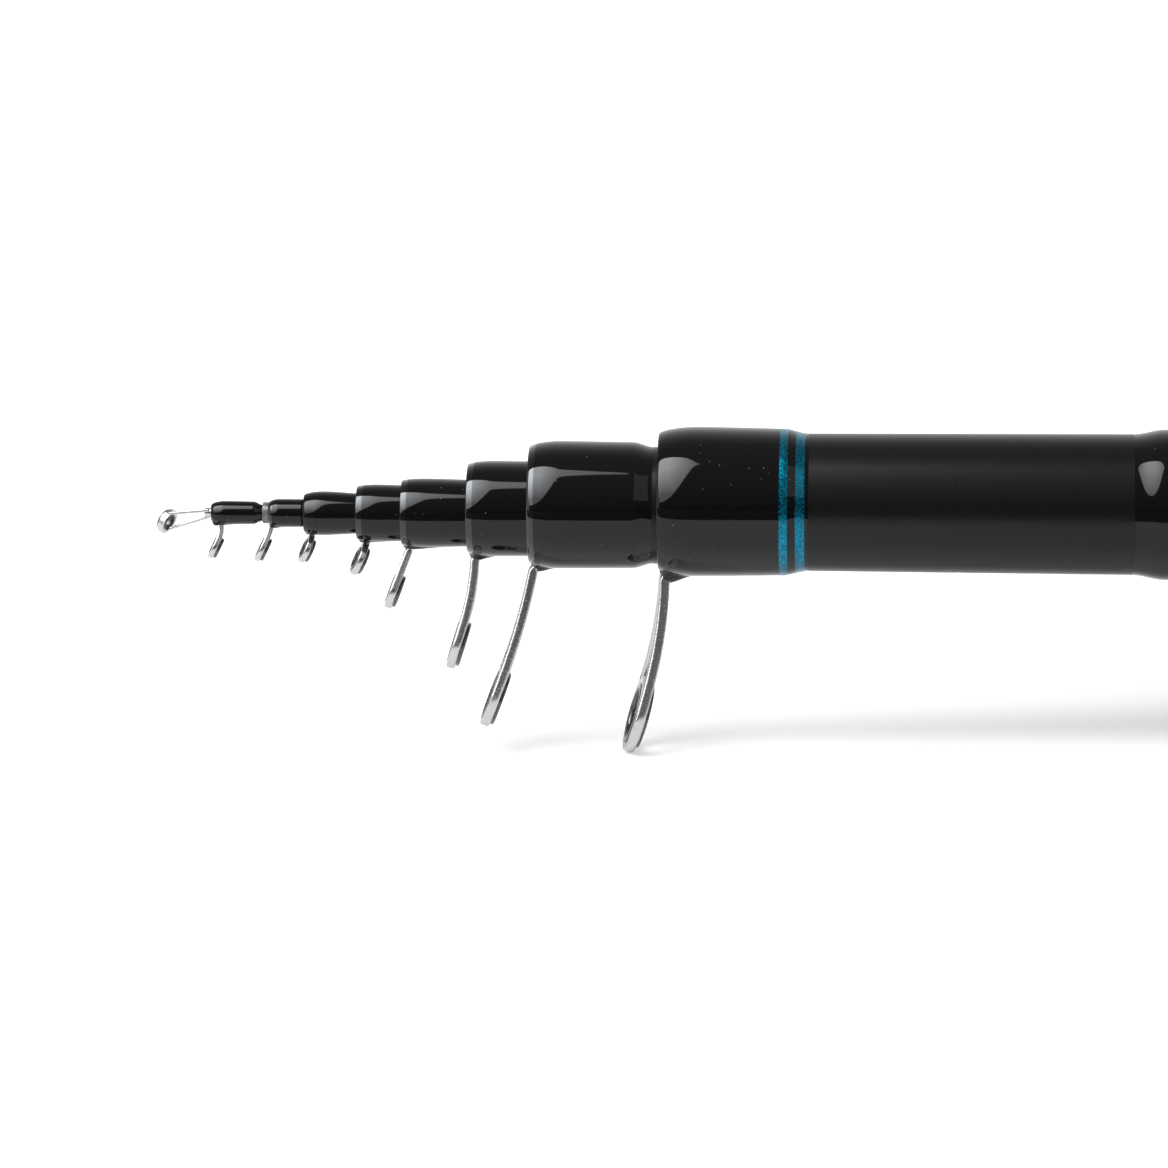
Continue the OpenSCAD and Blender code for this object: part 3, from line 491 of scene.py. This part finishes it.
# %% [markdown]
# ## The grip
# A rubber skin is shrunk over the handle end. Its net of ridges is felt as much as seen, so it is
# cut into the mesh: the skin is spun finely, and every point between the ridges is drawn in
# towards the tube. The finish follows the same two windings.

# %% Spin the grip
GRIP_END_STEPS = 10
NET_SAMPLES = 12
NET_DEEP = 0.22 * MM
NET_SHARP = 3
_, inner, axis_z = walls("grip_sleeve")
low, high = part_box("grip_sleeve")
grip_r, tube_r = high.y, inner[0][1]
skin = grip_r - tube_r
quarter = [math.pi / 2 * i / GRIP_END_STEPS for i in range(GRIP_END_STEPS + 1)]
front_end = [(low.x + skin * (1 - math.sin(a)), grip_r - skin * (1 - math.cos(a))) for a in quarter[::-1]]
rear_end = [(high.x - skin * (1 - math.sin(a)), grip_r - skin * (1 - math.cos(a))) for a in quarter]
straight = high.x - low.x - 2 * skin
rows = round(NET_SAMPLES * NET_ALONG * straight / math.tau)
middle = [(low.x + skin + straight * i / rows, grip_r) for i in range(1, rows)]
bm = spun(front_end + middle + rear_end, axis_z, NET_SAMPLES * NET_AROUND)
for vert in bm.verts:
    y, z = vert.co.y, vert.co.z - axis_z
    radius = math.hypot(y, z)
    around, along_rod = NET_AROUND * math.atan2(z, y), NET_ALONG * vert.co.x
    ridge = max(0.0, math.sin(around + along_rod), math.sin(around - along_rod)) ** NET_SHARP
    level = soft_step((vert.co.x - low.x - skin) / skin) * soft_step((high.x - skin - vert.co.x) / skin)
    drawn = 1 - NET_DEEP * (1 - ridge) * level / radius
    vert.co.y *= drawn
    vert.co.z = axis_z + z * drawn
made = new_piece("grip_skin", bm, "grip_sleeve", sharp=60)
print("grip faces", len(made.data.polygons))
print("grip radius", round(grip_r / MM, 2), "mm, skin", round(skin / MM, 2), "mm")

# %% [markdown]
# ## Lacquered bindings
# Thread is wound over the guide's foot and the mouth, then brushed with lacquer while the rod
# turns. The coat swells steeply at the mouth, thins slowly and feathers out behind. Under the rod
# a bead of lacquer runs out over the foot. The coat is spun from a formula, and then the points
# under the rod are pushed outwards to make the bead, blended so that no edge shows.


# %% Lacquer shapes
LIP_SHARE = 0.25
LIP_ROUND = 0.6
THINNING = [0.6, 0.35, 0.3, 1.6, 1.6, 1.6]
THINNING_START = 0.2
FEATHER_SHARE = 0.17
EVEN_SHARE = 0.2
SLEEVE_LIP_SHARE = 0.3
SLEEVE_LIP_ROUND = 0.7
SLEEVE_END_SHARE = 0.04
SLEEVE_END_ROUND = 0.5
BEAD_PEAK = 0.1
BEAD_ROUND = 0.5
BLEND = 0.25 * MM


def quarter_wave(share):
    """Rises from 0 to 1 steeply and levels off"""
    return math.sin(math.pi / 2 * min(1.0, max(0.0, share)))


def mouth_coat(t, thinning):
    """Height of the coat at t, which is 0 at the mouth and 1 at the binding's rear end"""
    swell = quarter_wave(t / LIP_SHARE) ** LIP_ROUND
    behind = max(0.0, t - LIP_SHARE)
    thinned = 1 - thinning * behind**2 / (behind + THINNING_START)
    return swell * thinned * soft_step((1 - t) / FEATHER_SHARE)


def even_coat(t):
    """A coat that feathers out at both ends"""
    return soft_step(min(t, 1 - t) / EVEN_SHARE)


def sleeve_coat(t):
    """A sleeve's coat swells in front and runs full up to the shoulder behind"""
    front = quarter_wave(t / SLEEVE_LIP_SHARE) ** SLEEVE_LIP_ROUND
    return front * quarter_wave((1 - t) / SLEEVE_END_SHARE) ** SLEEVE_END_ROUND


def bead_size(u, fade):
    """Size of the bead along the foot, as a share of its largest"""
    return quarter_wave(u / BEAD_PEAK) ** BEAD_ROUND / (1 + (max(0.0, u - BEAD_PEAK) / fade) ** 2)


def smooth_max(a, b):
    """The larger of two values, with a soft change where they are equal"""
    return (a + b + math.hypot(a - b, BLEND)) / 2


# %% Coating tool
COAT_RINGS = 72
BEAD_FADE = 0.3
SMALL_BEAD_FADE = 0.6
BEAD_SHARE = [1, 1, 1, 1, 0.6, 0.45, 1, 1]
LARGE_GUIDES = 3
# The rings lie closer together towards both ends, where the coat bends most
SHARES = [0.5 - 0.5 * math.cos(math.pi * i / COAT_RINGS) for i in range(COAT_RINGS + 1)]


def coated(name, node, carrier, coat, guide=0, rim=0.0):
    """A binding spun over its carrier, with a bead over the foot of the guide of that number.
    The rim is the width in front of the thread where the bare tube shows through clear lacquer"""
    low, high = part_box(node)
    wall, axis_z = WALL[carrier]
    front, rear = low.x, high.x
    points = [front + (rear - front) * t for t in SHARES]
    bare = [(x, radius_at(wall, x)) for x in points]
    swell = high.y - radius_at(wall, front + (rear - front) * LIP_SHARE)
    outline = [(x, r + swell * coat(t)) for t, (x, r) in zip(SHARES, bare)]
    bm = spun(outline, axis_z)
    if guide:
        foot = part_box(f"guide_{guide}_frame")[1].x - front
        fade = BEAD_FADE if guide <= LARGE_GUIDES else SMALL_BEAD_FADE
        bare_r = bare[0][1]
        bead_r = (axis_z - low.z - bare_r) * BEAD_SHARE[guide - 1]
        for vert in bm.verts:
            y, z = vert.co.y, vert.co.z - axis_z
            radius = math.hypot(y, z)
            share = bead_r * bead_size((vert.co.x - front) / foot, fade)
            if z < 0 and abs(bare_r * y / radius) < share:
                side = bare_r * y / radius
                lifted = bare_r * -z / radius + math.sqrt(share**2 - side**2)
                grown = radius + smooth_max(radius, lifted) - smooth_max(radius, bare_r)
                vert.co.y *= grown / radius
                vert.co.z = axis_z + z * grown / radius
    if rim:
        layer = bm.verts.layers.float.new(RIM)
        for vert in bm.verts:
            vert[layer] = 1.0 if vert.co.x - front < rim else 0.0
    return new_piece(name, bm, node, sharp=60)


# %% Coat every mouth
RIM_WIDTH = [0.0, 1.0 * MM, 1.0 * MM, 0.8 * MM, 0.8 * MM, 0.0]
REAR_SLEEVE_RIM = 0.6 * MM
FRONT_SLEEVE_THINNING = 0.2
REAR_SLIDING, FRONT_SLIDING = 7, 8
coats = []
for number, (carrier, rim, thinning) in enumerate(zip(TUBES, RIM_WIDTH, THINNING), start=1):
    node = carrier.replace("_tube", "_whipping")
    coats.append(coated(node + "_coat", node, carrier, lambda t: mouth_coat(t, thinning), number, rim))
coats += [
    coated(
        "rear_sleeve_coat",
        "rear_sleeve_whipping",
        "rear_sleeve",
        sleeve_coat,
        REAR_SLIDING,
        REAR_SLEEVE_RIM,
    ),
    coated(
        "front_sleeve_coat",
        "front_sleeve_whipping",
        "front_sleeve",
        lambda t: mouth_coat(t, FRONT_SLEEVE_THINNING),
        FRONT_SLIDING,
    ),
    coated("butt_mid_coat", "butt_mid_whipping", "butt_tube", even_coat),
]
print("coats:", [coat.name for coat in coats])

# %% [markdown]
# ## Trim bands
# Two blue rings lie in the butt binding, flush under its gloss. They are spun just proud of the
# coat, because the coat here is one closed skin.

# %% Spin the trim bands
BAND_PROUD = 0.012 * MM
BAND_DEEP = 0.1 * MM
BAND_STEPS = 8


def butt_coat_radius(x):
    """Outside radius of the butt binding at x"""
    low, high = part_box("butt_whipping")
    wall = WALL["butt_tube"][0]
    swell = high.y - radius_at(wall, low.x + (high.x - low.x) * LIP_SHARE)
    return radius_at(wall, x) + swell * mouth_coat((x - low.x) / (high.x - low.x), THINNING[0])


band_x = sorted({round(v.co.x, TO_MICRON) for v in frame["nodes"]["butt_trim_bands"].data.vertices})
gap_start, gap_end = max(zip(band_x, band_x[1:]), key=lambda pair: pair[1] - pair[0])
bands = bmesh.new()
for start, end in ((band_x[0], gap_start), (gap_end, band_x[-1])):
    steps = [start + (end - start) * i / BAND_STEPS for i in range(BAND_STEPS + 1)]
    radii = [butt_coat_radius(x) for x in steps]
    top = [(x, r + BAND_PROUD) for x, r in zip(steps, radii)]
    ring = spun(top + [(end, radii[-1] - BAND_DEEP), (start, radii[0] - BAND_DEEP)], 0.0)
    part = bpy.data.meshes.new("band")
    ring.to_mesh(part)
    ring.free()
    bands.from_mesh(part)
    bpy.data.meshes.remove(part)
new_piece("trim_bands", bands, "butt_trim_bands")
print("trim bands at", [round(x / MM, 2) for x in band_x])

# %% [markdown]
# ## Bindings over the reel seat
# The reel seat's two feet are bound down like a guide's foot, but a foot is a wide flat tongue.
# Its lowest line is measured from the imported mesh's flat faces, and the coat under the tube is
# lifted to it. Past the end of the foot the lacquer runs down to the tube in a curve.

# %% Coat the seat's feet
SEAT_FOOT_HALF = 4.4 * MM
SEAT_BLEND = 3.0 * MM
SEAT_RUN = 5.0 * MM
FACES_DOWN = -0.5
LEVEL = 0.05


def foot_line(node):
    """Depth of the flat faces under a foot as a list of (x, depth)"""
    mesh = frame["nodes"][node].data
    lowest = {}
    for face in mesh.polygons:
        corners = [mesh.vertices[index].co for index in face.vertices]
        wide = max(abs(corner.y) for corner in corners) > SEAT_FOOT_HALF
        if wide and face.normal.z < FACES_DOWN and abs(face.normal.y) < LEVEL:
            for corner in corners:
                x = round(corner.x, TO_MICRON)
                lowest[x] = max(lowest.get(x, 0.0), -corner.z)
    return sorted(lowest.items())


def seat_coated(name, node):
    """A binding over a foot of the reel seat, lifted to the foot under the tube"""
    low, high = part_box(node)
    wall, axis_z = WALL["butt_tube"]
    points = [low.x + (high.x - low.x) * t for t in SHARES]
    swell = high.z - radius_at(wall, points[COAT_RINGS // 2])
    bm = spun([(x, radius_at(wall, x) + swell * even_coat(t)) for t, x in zip(SHARES, points)], axis_z)
    line = foot_line(node)
    under = [(x, radius_at(line, x)) for x in points if line[0][0] <= x <= line[-1][0]] + line
    depth_at = {x: max(d - (x - p) ** 2 / (2 * SEAT_RUN) for p, d in under) for x in points}
    for vert in bm.verts:
        depth = depth_at[min(points, key=lambda x: abs(x - vert.co.x))]
        beside = soft_step((abs(vert.co.y) - SEAT_FOOT_HALF) / SEAT_BLEND)
        if vert.co.z < 0 and depth > -vert.co.z:
            vert.co.z += (-depth - vert.co.z) * (1 - beside)
    return new_piece(name, bm, node, sharp=60)


for end in ("front", "rear"):
    made = seat_coated(f"seat_{end}_coat", f"seat_{end}_whipping")
    print(made.name, "faces", len(made.data.polygons))

# %% [markdown]
# ## Pressed guides
# A guide's frame is stamped from sheet steel and tumbled until no edge is sharp. A bevel could
# round the edges, but it can't follow the places where the legs and the ring run into each other.
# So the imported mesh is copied, its loose triangles are joined, and it is remeshed finely and
# smoothed. The copy is scaled to millimetres for that, because a remesh in metres has no voxels
# small enough.


# %% Copying tool
COPY_WELD = 0.002 * MM


def welded_copy(node):
    """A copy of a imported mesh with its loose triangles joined"""
    bm = bmesh.new()
    bm.from_mesh(frame["nodes"][node].data)
    bmesh.ops.remove_doubles(bm, verts=bm.verts, dist=COPY_WELD)
    return bm


# %% Tumble the guides
VOXEL_SHARE = 0.075
TUMBLE_PASSES = 36
TUMBLE_FACTOR = 0.5
FRAME_DEPTH = [1.6 * MM, 1.5 * MM, 1.4 * MM, 1.2 * MM, 1.0 * MM, 0.9 * MM, 0.8 * MM, 0.8 * MM]


def tumbled(node, voxel):
    """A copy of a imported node, remeshed finely in millimetres and smoothed until its edges are round"""
    bm = welded_copy(node)
    bmesh.ops.scale(bm, vec=(1 / MM, 1 / MM, 1 / MM), verts=bm.verts)
    blank = bpy.data.objects.new(node, bpy.data.meshes.new(node))
    bm.to_mesh(blank.data)
    bm.free()
    bpy.context.scene.collection.objects.link(blank)
    remesh = blank.modifiers.new("remesh", "REMESH")
    remesh.mode = "VOXEL"
    remesh.voxel_size = voxel / MM
    fine = bmesh.new()
    fine.from_object(blank, bpy.context.evaluated_depsgraph_get())
    bpy.data.meshes.remove(blank.data)
    for _ in range(TUMBLE_PASSES):
        bmesh.ops.smooth_vert(
            fine,
            verts=fine.verts,
            factor=TUMBLE_FACTOR,
            use_axis_x=True,
            use_axis_y=True,
            use_axis_z=True,
        )
    bmesh.ops.scale(fine, vec=(MM, MM, MM), verts=fine.verts)
    return new_piece(node + "_tumbled", fine, node, sharp=180)


for number, depth in enumerate(FRAME_DEPTH, start=1):
    node = f"guide_{number}_frame"
    made = tumbled(node, VOXEL_SHARE * depth)
    print(node, "faces", len(made.data.polygons))

# %% [markdown]
# ## Cast and turned fittings
# The hoods, the seat's plate, the lever and the cap have plain edges, as a mould or a lathe leaves
# them with a small radius. Smoothing would soften their flat faces too, so here a bevel is better.
# The flat triangles of each copy are first joined into whole faces again, so that only true edges
# are rolled over.


# %% Roll the fittings' edges
FITTING_EDGE = 0.25 * MM
EDGE_SEGMENTS = 3
SAME_FACE = math.radians(1)
SHARP_EDGE = math.radians(32)


def rounded(name, node, width):
    """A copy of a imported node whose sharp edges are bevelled"""
    bm = welded_copy(node)
    bmesh.ops.dissolve_limit(bm, angle_limit=SAME_FACE, verts=bm.verts, edges=bm.edges)
    edges = [e for e in bm.edges if e.is_manifold and e.calc_face_angle() > SHARP_EDGE]
    bmesh.ops.bevel(
        bm,
        geom=edges,
        offset=width,
        offset_type="OFFSET",
        segments=EDGE_SEGMENTS,
        profile=0.5,
        affect="EDGES",
        clamp_overlap=True,
        material=-1,
    )
    return new_piece(name, bm, node, sharp=50)


for node in ("fixed_hood", "sliding_hood", "seat_plate", "lock_lever", "butt_cap", "cap_bumper"):
    made = rounded(node + "_rolled", node, FITTING_EDGE)
    print(node, "faces", len(made.data.polygons))

# %% [markdown]
# ## The floor
# The rod lies on its first guide and on the rim of its butt cap, so the floor runs through both.
# A black mirror shows whatever stands round it. A dark card on the floor, which only reflections
# see, ends the pale floor in the gloss a little below the rod's middle.


# %% Lay the floor and the card
FLOOR_SIZE = 400.0
CARD_START = 0.113
CARD_LIFT = 0.4 * MM
CARD_DEEP = 60.0
CARD_WIDE = 60.0


def plane(name, size_x, size_y, place):
    """A flat sheet of the stage, which isn't part of the rod"""
    bm = bmesh.new()
    bmesh.ops.create_grid(bm, x_segments=1, y_segments=1, size=0.5)
    bmesh.ops.transform(bm, matrix=place @ Matrix.Diagonal((size_x, size_y, 1, 1)), verts=bm.verts)
    mesh = bpy.data.meshes.new(name)
    bm.to_mesh(mesh)
    bm.free()
    made = bpy.data.objects.new(name, mesh)
    bpy.context.scene.collection.objects.link(made)
    return made


guide_low, cap_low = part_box("guide_1_frame")[0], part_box("butt_cap")[0]
cap_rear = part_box("butt_cap")[1].x
slope = (cap_low.z - guide_low.z) / (cap_rear - guide_low.x)
lying = Matrix.Translation((guide_low.x, 0, guide_low.z)) @ Matrix.Rotation(-math.atan(slope), 4, "Y")
floor = plane("floor", FLOOR_SIZE, FLOOR_SIZE, lying)
card_middle = Matrix.Translation((0, -CARD_START - CARD_DEEP / 2, CARD_LIFT))
card = plane("card", CARD_WIDE, CARD_DEEP, lying @ card_middle)
for flag in ("visible_camera", "visible_diffuse", "visible_shadow", "visible_transmission"):
    setattr(card, flag, False)
print("floor slope", round(math.degrees(math.atan(slope)), 2), "degrees")

# %% [markdown]
# The floor is pale paint. More light would make it white but would also fade the rod, so a glow is
# added that only the camera and, more weakly, reflections see. The paint itself keeps the shadow.

# %% Paint the floor
FLOOR_COLOUR = 0.7
GLOW_RIGHT = 0.35
GLOW_LEFT = 0.5
GLOW_FAR = 0.85
MIRRORED_GLOW = 0.4
NEAR_REACH = 0.18
FAR_REACH = 0.5
GLOW_TURN_START = 0.03
GLOW_TURN_END = 0.09
floor_paint = bpy.data.materials.new("floor_paint")
floor_paint.use_nodes = True
tree = floor_paint.node_tree
tree.nodes.remove(tree.nodes["Principled BSDF"])
path = tree.nodes.new("ShaderNodeLightPath").outputs
through = math_node(tree, "ADD", path["Is Glossy Ray"], path["Is Transmission Ray"])
mirrored = math_node(tree, "MULTIPLY", through, MIRRORED_GLOW)
seen = math_node(tree, "ADD", path["Is Camera Ray"], mirrored)
spot = add(tree, "ShaderNodeVectorMath", {0: object_point(tree), 1: aim}, operation="SUBTRACT").outputs[0]
to_right = add(tree, "ShaderNodeSeparateXYZ", {"Vector": spot}).outputs["X"]
reach = add(tree, "ShaderNodeVectorMath", {0: spot}, operation="LENGTH").outputs["Value"]
# The glow is painted light that changes over the floor. It is weaker within reach of the point the camera
# aims at, and weakest to the right of that point, so the rod's shadow shows darkest at the right and
# fades towards the left. Further away it grows stronger.
turn = {"From Min": GLOW_TURN_START, "From Max": GLOW_TURN_END}
across = {"Value": to_right, "To Min": GLOW_LEFT, "To Max": GLOW_RIGHT, **turn}
glow_near = add(tree, "ShaderNodeMapRange", across).outputs[0]
outward = {"From Min": NEAR_REACH, "From Max": FAR_REACH, "To Max": GLOW_FAR}
glow_at = add(tree, "ShaderNodeMapRange", {"Value": reach, "To Min": glow_near, **outward}).outputs[0]
glow = add(tree, "ShaderNodeEmission", {"Strength": math_node(tree, "MULTIPLY", seen, glow_at)})
matt = add(tree, "ShaderNodeBsdfDiffuse", {"Color": (FLOOR_COLOUR, FLOOR_COLOUR, FLOOR_COLOUR, 1)})
both = add(tree, "ShaderNodeAddShader", {0: glow.outputs[0], 1: matt.outputs[0]})
tree.links.new(both.outputs[0], tree.nodes["Material Output"].inputs["Surface"])
floor.data.materials.append(floor_paint)
print("floor glow", GLOW_LEFT, "at the left,", GLOW_RIGHT, "at the right,", GLOW_FAR, "far away")

# %% Paint the card
CARD_COLOUR = 0.03
card_paint = bpy.data.materials.new("card_paint")
card_paint.use_nodes = True
card_sockets = card_paint.node_tree.nodes["Principled BSDF"].inputs
card_sockets["Base Color"].default_value = (CARD_COLOUR, CARD_COLOUR, CARD_COLOUR, 1)
card_sockets["Roughness"].default_value = 1.0
card.data.materials.append(card_paint)
print("card from", CARD_START, "m in front of the rod")

# %% [markdown]
# ## The lamps
# A large lit cloth at the left gives the bright patches at the mouths. An area lamp would show
# there as a square, so the cloth is one face whose right-hand end is a point, and each patch is a
# wedge. A weaker lamp further right lights the rest of the rod, and one lights the guides from the
# tip.


# %% Cut the cloth
KEY_DISTANCE = 0.8
KEY_ELEVATION = math.radians(47)
KEY_POINT = Vector((-20, 305))
KEY_WIDE = 880
KEY_STEPS = 60
UPPER_RISE, UPPER_REACH, UPPER_SLOW = 430, 200, 0.7
LOWER_FALL, LOWER_REACH, LOWER_SLOW = 1000, 250, 1.15


def leaves_point(away, reach, slow):
    """How far an edge of the cloth has left its point, from 0 at the point to 1 far away"""
    return 1 - math.exp(-((away / reach) ** slow))


def facing(elevation, distance, x):
    """Placement of a lamp that faces the rod's line from in front, its own Y pointing up"""
    outward = Vector((0, -math.cos(elevation), math.sin(elevation)))
    turned = outward.to_track_quat("Z", "Y").to_matrix().to_4x4()
    return Matrix.Translation(Vector((x, 0, 0)) + outward * distance) @ turned


away = [KEY_WIDE * (i / KEY_STEPS) ** 2 for i in range(1, KEY_STEPS + 1)]
upper = [KEY_POINT + Vector((-d, UPPER_RISE * leaves_point(d, UPPER_REACH, UPPER_SLOW))) for d in away]
lower = [KEY_POINT - Vector((d, LOWER_FALL * leaves_point(d, LOWER_REACH, LOWER_SLOW))) for d in away]
bm = bmesh.new()
bm.faces.new([bm.verts.new((x * MM, y * MM, 0)) for x, y in [KEY_POINT, *upper, *lower[::-1]]])
cloth = bpy.data.objects.new("key", bpy.data.meshes.new("key"))
bm.to_mesh(cloth.data)
bm.free()
cloth.matrix_world = facing(KEY_ELEVATION, KEY_DISTANCE, mouth_x)
cloth.visible_camera = False
bpy.context.scene.collection.objects.link(cloth)
print("lit cloth", KEY_WIDE, "mm wide,", len(cloth.data.vertices), "corners")

# %% Light the cloth
KEY_RADIANCE = 9.0
KEY_COLOUR = (0.94, 0.97, 1.0, 1)
FADES_RIGHT = {"From Min": -0.325, "From Max": -0.02, "To Min": 1.0, "To Max": 0.33}
FADES_DOWN = {"From Min": -0.4, "From Max": 0.275, "To Min": 0.24, "To Max": 1.0}
lit = bpy.data.materials.new("lit_cloth")
lit.use_nodes = True
tree = lit.node_tree
tree.nodes.remove(tree.nodes["Principled BSDF"])
place = add(tree, "ShaderNodeSeparateXYZ", {"Vector": object_point(tree)}).outputs
right = add(tree, "ShaderNodeMapRange", {"Value": place["X"], **FADES_RIGHT}).outputs[0]
down = add(tree, "ShaderNodeMapRange", {"Value": place["Y"], **FADES_DOWN}).outputs[0]
strength = math_node(tree, "MULTIPLY", math_node(tree, "MULTIPLY", right, down), KEY_RADIANCE)
light = add(tree, "ShaderNodeEmission", {"Color": KEY_COLOUR, "Strength": strength})
tree.links.new(light.outputs[0], tree.nodes["Material Output"].inputs["Surface"])
cloth.data.materials.append(lit)
print("cloth radiance", KEY_RADIANCE)

# %% Lamps
BOX_SIZE = 0.9
FILL_ELEVATION = math.radians(45)
FILL_DISTANCE = 0.9
FILL_BEHIND_MOUTH = 0.75
FILL_RADIANCE = 0.45
SIDE_FROM_MOUTH = (-0.75, -0.35, 0.3)
SIDE_RADIANCE = 0.8


def soft_box(name, place, radiance):
    """A square area lamp that gives the same radiance whatever its size"""
    lamp = bpy.data.lights.new(name, "AREA")
    lamp.shape = "RECTANGLE"
    lamp.size = BOX_SIZE
    lamp.size_y = BOX_SIZE
    lamp.energy = radiance * math.pi * BOX_SIZE * BOX_SIZE
    made = bpy.data.objects.new(name, lamp)
    made.matrix_world = place
    made.visible_camera = False
    bpy.context.scene.collection.objects.link(made)


soft_box("fill", facing(FILL_ELEVATION, FILL_DISTANCE, mouth_x + FILL_BEHIND_MOUTH), FILL_RADIANCE)
side_middle = Matrix.Translation(Vector((mouth_x, 0, 0)) + Vector(SIDE_FROM_MOUTH))
soft_box("side", side_middle @ Matrix.Rotation(math.radians(-90), 4, "Y"), SIDE_RADIANCE)
print("lamps:", [lamp.name for lamp in bpy.data.lights])

# %% [markdown]
# ## The room
# What the gloss shows above the rod is the room: dark in front, a little paler overhead, and pale
# behind, where the outline of each tube catches it. A gradient of the world gives that.

# %% Room
ROOM_DARK = 0.07
ROOM_TOP = 0.15
ROOM_BACK = 0.8
BACK_START = 0.2
BACK_END = 0.95
BACK_CURVE = 2.0
world = bpy.data.worlds.new("room")
bpy.context.scene.world = world
world.use_nodes = True
tree = world.node_tree
way = tree.nodes.new("ShaderNodeTexCoord").outputs["Generated"]
ray = add(tree, "ShaderNodeSeparateXYZ", {"Vector": way}).outputs
to_back = {"Value": ray["Y"], "From Min": BACK_START, "From Max": BACK_END}
behind = add(tree, "ShaderNodeMapRange", to_back).outputs[0]
pale = math_node(tree, "MULTIPLY", math_node(tree, "POWER", behind, BACK_CURVE), ROOM_BACK)
top = math_node(tree, "MULTIPLY", math_node(tree, "MAXIMUM", ray["Z"], 0.0), ROOM_TOP)
strength = math_node(tree, "ADD", math_node(tree, "ADD", pale, top), ROOM_DARK)
tree.links.new(strength, tree.nodes["Background"].inputs["Strength"])
tree.nodes["Background"].inputs["Color"].default_value = (1, 1, 1, 1)
print("room from", ROOM_DARK, "in front to", ROOM_DARK + ROOM_BACK, "behind")
